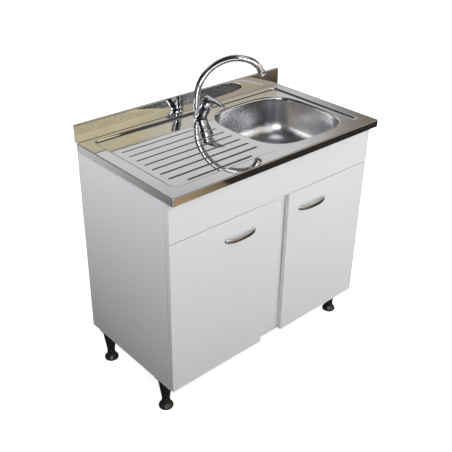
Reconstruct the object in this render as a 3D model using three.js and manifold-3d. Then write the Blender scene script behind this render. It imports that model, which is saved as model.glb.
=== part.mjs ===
// A kitchen sink unit: a pressed stainless sink top with a drainer on a two-door base cabinet,
// with a single-lever swan-neck tap, a basket waste and a bottle trap. Millimetres, +Z up.
// X runs along the front, +Y to the back, and z = 0 is the floor under the middle of the top.
import * as THREE from "three";
import { mergeVertices } from "three/addons/utils/BufferGeometryUtils.js";
import Module from "manifold-3d";

const wasm = await Module();
wasm.setup();

// ---------------------------------------------------------------- driving dimensions
const SEAT = 0.3; // gap between two faces that touch
const BIG = 2000; // longer than anything that is cut

// sink top
const TOP_WIDTH = 900;
const TOP_DEPTH = 500;
const TOP_HEIGHT = 850; // floor to the flat rim
const SHEET = 1.2; // steel sheet
const SKIRT_HEIGHT = 25;
const SKIRT_CORNER = 5;
const EDGE_ROUND = 3.5;
const UPSTAND_HEIGHT = 59;
const UPSTAND_THICK = 14;
const RECESS_DROP = 6;
const RECESS_SLOPE = 4.5; // width of the sloping step round the recess
const RECESS_SIDE = 42; // rim outside the recess, left and right
const RECESS_FRONT = 47;
const RECESS_BACK = 20; // from the upstand
const RECESS_CORNER = 26;
const GROOVE_COUNT = 8;
const GROOVE_PITCH = 39;
const GROOVE_RADIUS = 3.2;
const GROOVE_DEPTH = 1.8;
const GROOVE_MARGIN = 36; // recess outline to the left ends
const GROOVE_TO_BOWL = 29; // right ends to the bowl's outline
const GROOVE_BACK_Y = 97;

// bowl
const BOWL_MARGIN = 19; // recess outline to the bowl's outline at the right
const BOWL_Y = -8;
const BOWL_HALF_X = 193;
const BOWL_HALF_Y = 188;
const BOWL_SQUARENESS = 3.3; // superellipse exponent of its outline
const BOWL_LIP = 8; // radius of the rolled lip
const BOWL_DEPTH = 154; // recess floor to the bowl floor at the wall
const BOWL_DRAFT = 4;
const BOWL_FILLET = 30;
const BOWL_FALL = 4; // floor falls this much to the waste
const SEAT_RADIUS = 57; // pressed seat of the waste
const SEAT_DROP = 4;
const WASTE_HOLE = 44.5;
const WELD_LAP = 2; // lip turned down past its radius

// tap
const TAP_FROM_BOWL = 194; // base axis to the left of the bowl's middle
const TAP_Y = 168;
const TAP_BASE_RADIUS = 21;
const TAP_GASKET = 1.5;
const TAP_LEAN = 30; // degrees the cartridge housing leans to the front
const HOUSING_RADIUS = 23;
const HOUSING_FOOT_RADIUS = 20;
const HOUSING_LENGTH = 69; // base to the lever's pivot, along the lean
const CARTRIDGE_RADIUS = 17.2;
const CARTRIDGE_START = 30;
const DOME_OUT = 25.5; // lever dome round the pivot
const DOME_IN = 21.2;
const CAP_OUT = 20; // cartridge cap round the pivot
const CAP_IN = 18;
const CAP_MOUTH = 13;
const BALL_RADIUS = 4;
const STEM_HALF = 3.5; // half the square stem
const CARRIER_RADIUS = 9;
const CARRIER_HEIGHT = 8;
const STEM_LAP = 2.2; // how far the stem goes into the dome
const DOME_RIM = 0.46; // height of the dome's rim over the pivot, as a share of its radius
const LEVER_REACH = 87; // pivot to the tip
const LEVER_WIDTH = 31;
const LEVER_TIP_WIDTH = 19;
const SPOUT_BACK = 22; // spout axis behind the base axis
const SPOUT_RADIUS = 11;
const SPOUT_PIPE_WALL = 1; // the body's rear pipe is this much bigger than the spout
const SPOUT_FOOT = 31; // its top above the flat rim
const SPOUT_TURN = -52; // degrees from +X
// The spout's middle line: straight runs by length, bends by radius and the lean they end at.
const SPOUT_RUNS = [
  { straight: 18.2 },
  { radius: 159.3, to: 72.4 },
  { radius: 113.7, to: 110.8 },
  { radius: 56, to: 156 },
  { straight: 11 },
];
const SPIGOT_RADIUS = 8;
const SPIGOT_LENGTH = 20;
const COLLAR_HEIGHT = 7;
const COLLAR_WALL = 1.7;
const AERATOR_WALL = 1.6;
const AERATOR_LENGTH = 16;
const AERATOR_PLAY = 0.6; // round the spout's end
const SHANK_RADIUS = 16;
const SHANK_LENGTH = 52;
const TAP_HOLE = 17.5;

// cabinet
const CABINET_INSET = 5; // the top stands out this much past each side
const BOARD = 18;
const DOOR_BOARD = 16;
const RECESS_CLEARANCE = 1; // back of the apron to the recess in the top
const CABINET_BACK = 247;
const CABINET_BOTTOM = 125;
const DOOR_TOP = 683.5;
const REVEAL = 3; // gap between the apron and the doors
const DOOR_BOTTOM = 127;
const DOOR_INNER = 51; // inner edge of a door from the middle
const EDGE_MARGIN = 1; // front boards stop this short of the cabinet's side
const RAIL_TOP = 705;
const RAIL_HEIGHT = 50;
const RAIL_BOARD = 16;
const STILE_WIDTH = 100;
const BACK_RAIL_HEIGHT = 100;

// doors
const HINGE_INSET = 90; // hinge centre from the door's ends
const CUP_INSET = 21.5;
const CUP_RADIUS = 17.2;
const CUP_DEPTH = 10.4;
const CUP_WALL = 1.5;
const HANDLE_SPAN = 144;
const HANDLE_STANDOFF = 27.7;
const HANDLE_HEIGHT = 15;
const HANDLE_FROM_EDGE = 108; // handle centre from the door's inner edge
const HANDLE_DROP = 70; // handle centre below the door's top

// legs
const LEG_INSET = 8; // leg axis inside the side panel's inner face
const LEG_FRONT_Y = -147;
const LEG_BACK_Y = 181;
const LEG_TOP_RADIUS = 24;
const LEG_NECK_RADIUS = 15;
const LEG_NECK_Z = 40;
const FOOT_RADIUS = 30;
const SPINDLE_RADIUS = 8.7;
const SPINDLE_TOP = 100;

// waste and trap
const CUP_HEIGHT = 46;
const SPIGOT_OUT = 19.5;
const SPIGOT_IN = 16.5;
const SPIGOT_DROP = 26;
const PIPE_RADIUS = 16;
const BOTTLE_RADIUS = 33;
const BOTTLE_TOP = 452;
const BOTTLE_BOTTOM = 352;
const OUTLET_Z = 424;
const OUTLET_RADIUS = 16;
const WALL_THIN = 2.5;

// ---------------------------------------------------------------- places worked out from them
const HALF_W = TOP_WIDTH / 2;
const HALF_D = TOP_DEPTH / 2;
const HALF_CABINET = HALF_W - CABINET_INSET;
// Face of the doors and the apron.
const FRONT_PLANE = -(HALF_D - RECESS_FRONT + BOARD + RECESS_CLEARANCE);
const BOWL_X = HALF_W - RECESS_SIDE - BOWL_MARGIN - BOWL_HALF_X;
const GROOVE_START = -(HALF_W - RECESS_SIDE - GROOVE_MARGIN);
const GROOVE_END = BOWL_X - BOWL_HALF_X - GROOVE_TO_BOWL;
const TAP_X = BOWL_X - TAP_FROM_BOWL;
const SPOUT_PIPE_RADIUS = SPOUT_RADIUS + SPOUT_PIPE_WALL;
const AERATOR_RADIUS = SPOUT_RADIUS + AERATOR_PLAY + AERATOR_WALL;
const RECESS_Z = TOP_HEIGHT - RECESS_DROP;
const SKIRT_Z = TOP_HEIGHT - SKIRT_HEIGHT;
const UPSTAND_Y = HALF_D - UPSTAND_THICK;
const LIP_END = RECESS_Z - BOWL_LIP - WELD_LAP;
const BOWL_FLOOR = RECESS_Z - BOWL_DEPTH;
const SEAT_Z = BOWL_FLOOR - BOWL_FALL - SEAT_DROP;
const BOWL_UNDER = SEAT_Z - SHEET;
const CARCASS_TOP = TOP_HEIGHT - SHEET - SEAT;
const CARCASS_FRONT = FRONT_PLANE + BOARD + SEAT;
const INNER_X = HALF_CABINET - BOARD;
const LEG_X = INNER_X - LEG_INSET;
const DOOR_OUTER = HALF_CABINET - EDGE_MARGIN;
const DOOR_REAR = FRONT_PLANE + DOOR_BOARD;
const HINGE_LEVELS = { lower: DOOR_BOTTOM + HINGE_INSET, upper: DOOR_TOP - HINGE_INSET };
const TAP_BASE_Z = RECESS_Z + SEAT + TAP_GASKET + SEAT;
const SPOUT_Y = TAP_Y + SPOUT_BACK;
const SPOUT_Z = TOP_HEIGHT + SPOUT_FOOT;
const radians = THREE.MathUtils.degToRad;

// ---------------------------------------------------------------- solids
// A closed three.js geometry as a solid with its faces outwards.
function solid(geometry) {
  const bare = geometry.clone();
  bare.deleteAttribute("normal");
  bare.deleteAttribute("uv");
  const merged = mergeVertices(bare, 1e-3);
  const index = merged.index.array;
  const triangles = [];
  for (let i = 0; i < index.length; i += 3) {
    const [a, b, c] = [index[i], index[i + 1], index[i + 2]];
    if (a !== b && b !== c && c !== a) triangles.push(a, b, c);
  }
  const make = (order) =>
    new wasm.Manifold(
      new wasm.Mesh({
        numProp: 3,
        vertProperties: new Float32Array(merged.attributes.position.array),
        triVerts: new Uint32Array(order),
      }),
    );
  const made = make(triangles);
  return made.volume() < 0 ? make(triangles.reverse()) : made;
}

function geometryOf(body) {
  const mesh = body.getMesh();
  const geometry = new THREE.BufferGeometry();
  geometry.setAttribute("position", new THREE.BufferAttribute(mesh.vertProperties, 3));
  geometry.setIndex(new THREE.BufferAttribute(mesh.triVerts, 1));
  geometry.computeVertexNormals();
  return geometry;
}

function join(...bodies) {
  return bodies.reduce((all, body) => all.add(body));
}

function cut(body, ...tools) {
  return tools.reduce((left, tool) => left.subtract(tool), body);
}

// A block between two corners.
function block(x0, x1, y0, y1, z0, z1) {
  const geometry = new THREE.BoxGeometry(x1 - x0, y1 - y0, z1 - z0);
  geometry.translate((x0 + x1) / 2, (y0 + y1) / 2, (z0 + z1) / 2);
  return solid(geometry);
}

// A rectangle with rounded corners, between two corners.
function roundedRectangle(x0, x1, y0, y1, radius) {
  const shape = new THREE.Shape();
  shape.moveTo(x0 + radius, y0);
  shape.lineTo(x1 - radius, y0);
  shape.absarc(x1 - radius, y0 + radius, radius, -Math.PI / 2, 0);
  shape.lineTo(x1, y1 - radius);
  shape.absarc(x1 - radius, y1 - radius, radius, 0, Math.PI / 2);
  shape.lineTo(x0 + radius, y1);
  shape.absarc(x0 + radius, y1 - radius, radius, Math.PI / 2, Math.PI);
  shape.lineTo(x0, y0 + radius);
  shape.absarc(x0 + radius, y0 + radius, radius, Math.PI, Math.PI * 1.5);
  return shape;
}

// A shape in the XY plane, extruded from z0 to z1 with square edges.
function slab(shape, z0, z1, curveSegments = 4) {
  const geometry = new THREE.ExtrudeGeometry(shape, {
    depth: z1 - z0,
    bevelEnabled: false,
    curveSegments,
  });
  geometry.translate(0, 0, z0);
  return solid(geometry);
}

// The same with its upper edge rounded inwards by `round`.
function softSlab(shape, z0, z1, round, curveSegments = 4) {
  const geometry = new THREE.ExtrudeGeometry(shape, {
    depth: z1 - z0 - round,
    bevelThickness: round,
    bevelSize: round,
    bevelOffset: -round,
    bevelSegments: 3,
    curveSegments,
  });
  geometry.translate(0, 0, z0);
  return cut(solid(geometry), block(-BIG, BIG, -BIG, BIG, z0 - BIG, z0));
}

// A sunken tool: outline `shape` at z0, spreading by `slope` up to z1, then straight to `top`.
function sunkenTool(shape, z0, z1, slope, top) {
  const geometry = new THREE.ExtrudeGeometry(shape, {
    depth: top - z1,
    bevelThickness: z1 - z0,
    bevelSize: slope,
    bevelSegments: 1,
    curveSegments: 5,
  });
  geometry.translate(0, 0, z1);
  return cut(solid(geometry), block(-BIG, BIG, -BIG, BIG, top, top + BIG));
}

// A profile of [radius, z] pairs turned about the Z axis.
function turned(profile, segments = 16) {
  const points = profile.map(([radius, z]) => new THREE.Vector2(radius, z));
  const geometry = new THREE.LatheGeometry(points, segments);
  geometry.rotateX(Math.PI / 2);
  return solid(geometry);
}

// A ring or tube: inner and outer radius, bottom and top.
function ring(inner, outer, z0, z1, segments = 16) {
  const profile = [
    [inner, z0],
    [outer, z0],
    [outer, z1],
    [inner, z1],
    [inner, z0],
  ];
  return turned(profile, segments);
}

function rod(radius, z0, z1, segments = 16) {
  const profile = [
    [0, z0],
    [radius, z0],
    [radius, z1],
    [0, z1],
  ];
  return turned(profile, segments);
}

function ball(radius, segments = 20) {
  return solid(new THREE.SphereGeometry(radius, segments, segments / 2));
}

function moved(body, x, y, z) {
  return body.translate([x, y, z]);
}

// Rings of equally many points, joined into a closed surface; the last ring meets the first.
function wrapped(rings) {
  const count = rings[0].length;
  const positions = [];
  const index = [];
  for (const points of rings) {
    for (const point of points) positions.push(point.x, point.y, point.z);
  }
  for (let i = 0; i < rings.length; i += 1) {
    const next = (i + 1) % rings.length;
    for (let j = 0; j < count; j += 1) {
      const side = (j + 1) % count;
      const a = i * count + j;
      const b = i * count + side;
      const c = next * count + side;
      const d = next * count + j;
      index.push(a, b, c, a, c, d);
    }
  }
  const geometry = new THREE.BufferGeometry();
  geometry.setAttribute("position", new THREE.Float32BufferAttribute(positions, 3));
  geometry.setIndex(index);
  return solid(geometry);
}

// One ring of a superellipse about the bowl's middle: half sizes, squareness and level.
function bowlRing(halfX, halfY, squareness, z, count) {
  const points = [];
  for (let i = 0; i < count; i += 1) {
    const angle = (i / count) * 2 * Math.PI;
    const across = Math.abs(Math.cos(angle)) / halfX;
    const along = Math.abs(Math.sin(angle)) / halfY;
    const reach = (across ** squareness + along ** squareness) ** (-1 / squareness);
    const x = BOWL_X + reach * Math.cos(angle);
    const y = BOWL_Y + reach * Math.sin(angle);
    points.push(new THREE.Vector3(x, y, z));
  }
  return points;
}

const BOWL_POINTS = 40;

// ---------------------------------------------------------------- sink top
// What the rolled lip opens: the bowl's mouth, grown by `grow`, down to `bottom`.
function mouthTool(grow, bottom) {
  const steps = 3;
  const radius = BOWL_LIP - grow;
  const rings = [];
  const level = (inset, z) =>
    bowlRing(BOWL_HALF_X - inset, BOWL_HALF_Y - inset, BOWL_SQUARENESS, z, BOWL_POINTS);
  const inner = BOWL_LIP - grow;
  rings.push(level(inner, bottom));
  for (let i = 0; i <= steps; i += 1) {
    const angle = (i / steps) * (Math.PI / 2);
    const inset = inner - radius * (1 - Math.cos(angle));
    const z = RECESS_Z - BOWL_LIP + radius * Math.sin(angle);
    rings.push(level(inset, z));
  }
  rings.push(level(0, TOP_HEIGHT + RECESS_DROP));
  return filledStack(rings);
}

// Rings stacked upwards, with a flat lid on the first and the last.
function filledStack(rings) {
  const count = rings[0].length;
  const positions = [];
  const index = [];
  for (const points of rings) {
    for (const point of points) positions.push(point.x, point.y, point.z);
  }
  for (let i = 0; i + 1 < rings.length; i += 1) {
    for (let j = 0; j < count; j += 1) {
      const side = (j + 1) % count;
      const a = i * count + j;
      const b = i * count + side;
      const c = (i + 1) * count + side;
      const d = (i + 1) * count + j;
      index.push(a, b, c, a, c, d);
    }
  }
  const last = (rings.length - 1) * count;
  for (let j = 1; j + 1 < count; j += 1) {
    index.push(0, j + 1, j);
    index.push(last, last + j, last + j + 1);
  }
  const geometry = new THREE.BufferGeometry();
  geometry.setAttribute("position", new THREE.Float32BufferAttribute(positions, 3));
  geometry.setIndex(index);
  return solid(geometry);
}

// The recess, grown by `grow` all round and downwards.
function recessTool(grow) {
  const inset = RECESS_SLOPE - grow * 0.5;
  const x = HALF_W - RECESS_SIDE - inset;
  const y0 = -HALF_D + RECESS_FRONT + inset;
  const y1 = UPSTAND_Y - RECESS_BACK - inset;
  const shape = roundedRectangle(-x, x, y0, y1, RECESS_CORNER - inset);
  return sunkenTool(shape, RECESS_Z - grow, TOP_HEIGHT - grow, RECESS_SLOPE, TOP_HEIGHT + RECESS_DROP);
}

// The drainer grooves, grown by `grow`. The first stops short of the tap.
function grooveTools(grow) {
  const tools = [];
  for (let i = 0; i < GROOVE_COUNT; i += 1) {
    const first = i === 0;
    const last = i === GROOVE_COUNT - 1;
    const start = GROOVE_START + (last ? GROOVE_PITCH : 0);
    const end = GROOVE_END - (first ? GROOVE_PITCH * 0.6 : 0) - (last ? GROOVE_PITCH * 1.5 : 0);
    const geometry = new THREE.CapsuleGeometry(GROOVE_RADIUS + grow, end - start, 2, 8);
    geometry.rotateZ(Math.PI / 2);
    const y = GROOVE_BACK_Y - i * GROOVE_PITCH;
    const z = RECESS_Z + GROOVE_RADIUS - GROOVE_DEPTH;
    geometry.translate((start + end) / 2, y, z);
    tools.push(solid(geometry));
  }
  return tools;
}

// Skirt, rim and upstand as one block, smaller by `inset` on every face but the bottom.
function topBlock(inset) {
  const x = HALF_W - inset;
  const front = -HALF_D + inset;
  const back = HALF_D - inset;
  const corner = SKIRT_CORNER - inset;
  const round = EDGE_ROUND - inset;
  const bottom = inset > 0 ? SKIRT_Z - BOWL_LIP : SKIRT_Z;
  const rim = roundedRectangle(-x, x, front, back, corner);
  const wall = roundedRectangle(-x, x, UPSTAND_Y + inset, back, corner);
  return join(
    softSlab(rim, bottom, TOP_HEIGHT - inset, round),
    softSlab(wall, bottom, TOP_HEIGHT + UPSTAND_HEIGHT - inset, round),
  );
}

function sinkDeck() {
  const outside = cut(topBlock(0), recessTool(0), ...grooveTools(0), mouthTool(0, SKIRT_Z - BOWL_LIP));
  const inside = cut(
    topBlock(SHEET),
    recessTool(SHEET),
    ...grooveTools(SHEET),
    mouthTool(SHEET, LIP_END),
  );
  const tapHole = moved(rod(TAP_HOLE, RECESS_Z - SKIRT_HEIGHT, TOP_HEIGHT), TAP_X, TAP_Y, 0);
  return cut(outside, inside, tapHole);
}

// The tub: its inner face from the weld down to the waste hole, and back along the outer face.
function bowlFace(wall) {
  const rings = [];
  const steps = 4;
  const mouthInset = BOWL_LIP - wall;
  const level = (inset, squareness, z) =>
    bowlRing(BOWL_HALF_X - inset, BOWL_HALF_Y - inset, squareness, z, BOWL_POINTS);
  const circle = (radius, z) => bowlRing(radius, radius, 2, z, BOWL_POINTS);
  rings.push(level(mouthInset, BOWL_SQUARENESS, LIP_END - SEAT));
  const bendZ = BOWL_FLOOR + BOWL_FILLET;
  const radius = BOWL_FILLET + wall;
  for (let i = 0; i <= steps; i += 1) {
    const angle = (i / steps) * (Math.PI / 2);
    const inset = BOWL_LIP + BOWL_DRAFT + BOWL_FILLET - radius * Math.cos(angle);
    rings.push(level(inset, BOWL_SQUARENESS - i * 0.1, bendZ - radius * Math.sin(angle)));
  }
  rings.push(circle(SEAT_RADIUS + 4 + wall, BOWL_FLOOR - BOWL_FALL - wall));
  rings.push(circle(SEAT_RADIUS + wall, SEAT_Z - wall));
  rings.push(circle(WASTE_HOLE, SEAT_Z - wall));
  return rings;
}

function sinkBowl() {
  return wrapped([...bowlFace(0), ...bowlFace(SHEET).reverse()]);
}

// ---------------------------------------------------------------- waste and trap
function strainerCup() {
  const flangeZ = SEAT_Z + SEAT;
  const outer = WASTE_HOLE - 1;
  const inner = outer - 2;
  const bottom = flangeZ - CUP_HEIGHT;
  const body = turned([
    [inner, flangeZ + 0.4],
    [SEAT_RADIUS - 1, flangeZ + 0.6],
    [SEAT_RADIUS - 1, flangeZ],
    [outer, flangeZ],
    [outer, bottom + 8],
    [outer - 8, bottom],
    [SPIGOT_OUT, bottom - 2],
    [SPIGOT_OUT, bottom - SPIGOT_DROP],
    [SPIGOT_IN, bottom - SPIGOT_DROP],
    [SPIGOT_IN, bottom + 2],
    [inner - 7, bottom + 2],
    [inner, bottom + 9],
    [inner, flangeZ + 0.4],
  ]);
  return body;
}

function wasteGasket() {
  return ring(WASTE_HOLE, SEAT_RADIUS - 2, BOWL_UNDER - SEAT - 3, BOWL_UNDER - SEAT);
}

// A plastic nut with grip lobes round it.
function lobedNut(inner, outer, z0, z1, lobes) {
  let nut = ring(inner, outer, z0, z1);
  for (let i = 0; i < lobes; i += 1) {
    const angle = (i / lobes) * 2 * Math.PI;
    const notch = rod(outer * 0.12, z0 - 1, z1 + 1, 6);
    nut = cut(nut, moved(notch, outer * 1.05 * Math.cos(angle), outer * 1.05 * Math.sin(angle), 0));
  }
  return nut;
}

function wasteLocknut() {
  const top = BOWL_UNDER - SEAT - 3 - SEAT;
  return lobedNut(WASTE_HOLE - 1 + SEAT, SEAT_RADIUS + 1, top - 12, top, 12);
}

const CUP_FLOOR = SEAT_Z + SEAT - CUP_HEIGHT + 2;

function basketSeal() {
  return turned([
    [0, CUP_FLOOR + SEAT],
    [SPIGOT_IN + 6, CUP_FLOOR + SEAT],
    [SPIGOT_IN + 8, CUP_FLOOR + 4],
    [SPIGOT_IN + 4, CUP_FLOOR + 7],
    [0, CUP_FLOOR + 7],
  ]);
}

// The lift-out basket: a slotted cup with a post and a knob in the middle.
function basketPlug() {
  const floor = CUP_FLOOR + 7 + SEAT;
  const rim = SEAT_Z - 3;
  const radius = WASTE_HOLE - 5;
  const knob = rim + 17;
  let basket = turned([
    [0, floor],
    [radius - 7, floor],
    [radius - 1, rim - 2],
    [radius, rim],
    [radius - 2.5, rim],
    [radius - 8.5, floor + 1.5],
    [4, floor + 1.5],
    [3, knob - 8],
    [9, knob - 4],
    [9, knob - 1.5],
    [6, knob],
    [0, knob],
  ]);
  const slots = 10;
  for (let i = 0; i < slots; i += 1) {
    const slot = block(radius * 0.6, radius * 1.2, -1.6, 1.6, floor + 6, rim - 8);
    basket = cut(basket, slot.rotate([0, 0, (i * 360) / slots]));
  }
  return basket;
}

const SPIGOT_END = CUP_FLOOR - 2 - SPIGOT_DROP;
const PIPE_TOP = SPIGOT_END + 14;

function tailpieceNut() {
  const floor = SPIGOT_END - 4;
  const body = turned([
    [PIPE_RADIUS + SEAT, floor],
    [SPIGOT_OUT + 4, floor],
    [SPIGOT_OUT + 4, floor + 20],
    [SPIGOT_OUT + SEAT, floor + 20],
    [SPIGOT_OUT + SEAT, SPIGOT_END - SEAT],
    [PIPE_RADIUS + SEAT, SPIGOT_END - SEAT],
    [PIPE_RADIUS + SEAT, floor],
  ]);
  return body;
}

function inletPipe() {
  return ring(PIPE_RADIUS - 2, PIPE_RADIUS, BOTTLE_BOTTOM + 18, PIPE_TOP, 20);
}

function trapNut() {
  return lobedNut(PIPE_RADIUS + SEAT, PIPE_RADIUS + 9, BOTTLE_TOP + SEAT, BOTTLE_TOP + 18, 10);
}

// The bottle: a round chamber with a neck for the pipe and a side outlet to the back.
function trapBottle() {
  const shell = turned([
    [PIPE_RADIUS + SEAT, BOTTLE_TOP],
    [PIPE_RADIUS + SEAT, BOTTLE_TOP - 6],
    [BOTTLE_RADIUS - WALL_THIN - 4, BOTTLE_TOP - 12],
    [BOTTLE_RADIUS - WALL_THIN, BOTTLE_TOP - 20],
    [BOTTLE_RADIUS - WALL_THIN, BOTTLE_BOTTOM],
    [BOTTLE_RADIUS, BOTTLE_BOTTOM],
    [BOTTLE_RADIUS, BOTTLE_TOP - 18],
    [BOTTLE_RADIUS - 6, BOTTLE_TOP - 6],
    [PIPE_RADIUS + 6, BOTTLE_TOP],
    [PIPE_RADIUS + SEAT, BOTTLE_TOP],
  ]);
  const alongY = (body) => body.rotate([-90, 0, 0]).translate([0, 0, OUTLET_Z]);
  const stub = alongY(ring(OUTLET_RADIUS, OUTLET_RADIUS + 3, BOTTLE_RADIUS - 8, BOTTLE_RADIUS + 22, 20));
  const bore = alongY(rod(OUTLET_RADIUS, BOTTLE_RADIUS - 14, BOTTLE_RADIUS + 23, 20));
  const chamber = rod(BOTTLE_RADIUS - WALL_THIN, BOTTLE_BOTTOM, BOTTLE_TOP - 22);
  return cut(join(shell, cut(stub, chamber)), bore);
}

function trapCup() {
  const low = BOTTLE_BOTTOM - 16;
  return turned([
    [0, low],
    [BOTTLE_RADIUS - 2, low],
    [BOTTLE_RADIUS + 3, low + 4],
    [BOTTLE_RADIUS + 3, BOTTLE_BOTTOM + 8],
    [BOTTLE_RADIUS + SEAT, BOTTLE_BOTTOM + 8],
    [BOTTLE_RADIUS + SEAT, BOTTLE_BOTTOM - SEAT],
    [BOTTLE_RADIUS - 4, BOTTLE_BOTTOM - SEAT],
    [BOTTLE_RADIUS - 6, low + 3],
    [0, low + 3],
  ]);
}

function outletNut() {
  const near = BOTTLE_RADIUS + 22 + SEAT;
  const nut = lobedNut(OUTLET_RADIUS - 1 + SEAT, OUTLET_RADIUS + 8, near, near + 14, 10);
  return nut.rotate([-90, 0, 0]).translate([0, 0, OUTLET_Z]);
}

function outletPipe() {
  const start = BOTTLE_RADIUS + 4;
  const end = CABINET_BACK - BOWL_Y;
  const pipe = ring(OUTLET_RADIUS - 3, OUTLET_RADIUS - 1, start, end, 20);
  return pipe.rotate([-90, 0, 0]).translate([0, 0, OUTLET_Z]);
}

// ---------------------------------------------------------------- tap
// Stands a body made along +Z on the tap's base, leaning to the front.
function leaning(body) {
  return body.rotate([TAP_LEAN, 0, 0]).translate([TAP_X, TAP_Y, TAP_BASE_Z]);
}

function tapGasket() {
  const z = RECESS_Z + SEAT;
  return moved(ring(SHANK_RADIUS + SEAT, TAP_BASE_RADIUS - 1, z, z + TAP_GASKET), TAP_X, TAP_Y, 0);
}

// The body: a leaning housing for the cartridge fused to an upright pipe for the spout.
function tapBody() {
  const housing = turned([
    [0, -20],
    [HOUSING_FOOT_RADIUS, -20],
    [HOUSING_FOOT_RADIUS, 22],
    [HOUSING_RADIUS - 1, 46],
    [HOUSING_RADIUS, 56],
    [HOUSING_RADIUS, HOUSING_LENGTH - 1.5],
    [HOUSING_RADIUS - 1.5, HOUSING_LENGTH],
    [0, HOUSING_LENGTH],
  ]);
  const foot = turned([
    [0, TAP_BASE_Z],
    [TAP_BASE_RADIUS, TAP_BASE_Z],
    [TAP_BASE_RADIUS, TAP_BASE_Z + 4],
    [HOUSING_FOOT_RADIUS - 1, TAP_BASE_Z + 9],
    [0, TAP_BASE_Z + 9],
  ]);
  const pipe = turned([
    [0, TAP_BASE_Z],
    [SPOUT_PIPE_RADIUS - 1, TAP_BASE_Z],
    [SPOUT_PIPE_RADIUS, TAP_BASE_Z + 10],
    [SPOUT_PIPE_RADIUS, SPOUT_Z],
    [0, SPOUT_Z],
  ]);
  const web = new THREE.Shape();
  web.moveTo(TAP_Y - 22, TAP_BASE_Z);
  web.lineTo(SPOUT_Y + 2, TAP_BASE_Z);
  web.lineTo(SPOUT_Y + 2, SPOUT_Z - 4);
  web.quadraticCurveTo(SPOUT_Y - 12, SPOUT_Z - 8, TAP_Y - 14, SPOUT_Z + 2);
  web.closePath();
  const webHalf = SPOUT_PIPE_RADIUS - 2;
  const sheet = new THREE.ExtrudeGeometry(web, { depth: 2 * webHalf, bevelEnabled: false });
  sheet.translate(0, 0, -webHalf);
  sheet.rotateX(Math.PI / 2);
  sheet.rotateZ(Math.PI / 2);
  const under = block(-BIG, BIG, -BIG, BIG, -BIG, TAP_BASE_Z);
  const whole = join(
    leaning(housing),
    moved(foot, TAP_X, TAP_Y, 0),
    moved(pipe, TAP_X, SPOUT_Y, 0),
    moved(solid(sheet), TAP_X, 0, 0),
  );
  const socket = leaning(rod(CARTRIDGE_RADIUS + SEAT, CARTRIDGE_START - SEAT, HOUSING_LENGTH + 1));
  const spigotHole = rod(SPIGOT_RADIUS + SEAT, SPOUT_Z - SPIGOT_LENGTH - 1, SPOUT_Z + 1);
  return cut(whole, under, socket, moved(spigotHole, TAP_X, SPOUT_Y, 0));
}

// The cartridge's carrier turns with the lever; its top holds the ball of the stem.
const CARRIER_TOP = HOUSING_LENGTH - 2;
const CARRIER_FOOT = CARRIER_TOP - CARRIER_HEIGHT;

function cartridge() {
  const body = turned([
    [0, CARTRIDGE_START],
    [CARTRIDGE_RADIUS, CARTRIDGE_START],
    [CARTRIDGE_RADIUS, CARRIER_TOP - 2],
    [CARRIER_RADIUS + 3, CARRIER_TOP - 1],
    [CARRIER_RADIUS + SEAT, CARRIER_TOP - 1],
    [CARRIER_RADIUS + SEAT, CARRIER_FOOT - SEAT],
    [0, CARRIER_FOOT - SEAT],
  ]);
  return leaning(body);
}

function cartridgeCarrier() {
  const disc = rod(CARRIER_RADIUS, CARRIER_FOOT, CARRIER_TOP, 16);
  return leaning(cut(disc, moved(ball(BALL_RADIUS + SEAT, 16), 0, 0, HOUSING_LENGTH)));
}

// The chrome cap that holds the cartridge: part of a hollow ball about the lever's pivot.
function cartridgeCap() {
  const profile = [];
  const steps = 3;
  const arc = (radius, from, to) => {
    for (let i = 0; i <= steps; i += 1) {
      const angle = from + ((to - from) * i) / steps;
      profile.push([radius * Math.cos(angle), HOUSING_LENGTH + radius * Math.sin(angle)]);
    }
  };
  arc(CAP_OUT, Math.asin(SEAT / CAP_OUT), Math.acos(CAP_MOUTH / CAP_OUT));
  arc(CAP_IN, Math.acos(CAP_MOUTH / CAP_IN), Math.asin(SEAT / CAP_IN));
  profile.push(profile[0]);
  return leaning(turned(profile));
}

// Pieces of the lever are made about its pivot, standing upright in the closed place.
function atPivot(body) {
  const lean = radians(TAP_LEAN);
  const y = TAP_Y - HOUSING_LENGTH * Math.sin(lean);
  const z = TAP_BASE_Z + HOUSING_LENGTH * Math.cos(lean);
  return moved(body, TAP_X, y, z);
}

function leverStem() {
  const post = block(-STEM_HALF, STEM_HALF, -STEM_HALF, STEM_HALF, 1, DOME_IN + STEM_LAP);
  return atPivot(join(ball(BALL_RADIUS, 16), post).rotate([TAP_LEAN, 0, 0]));
}

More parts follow.
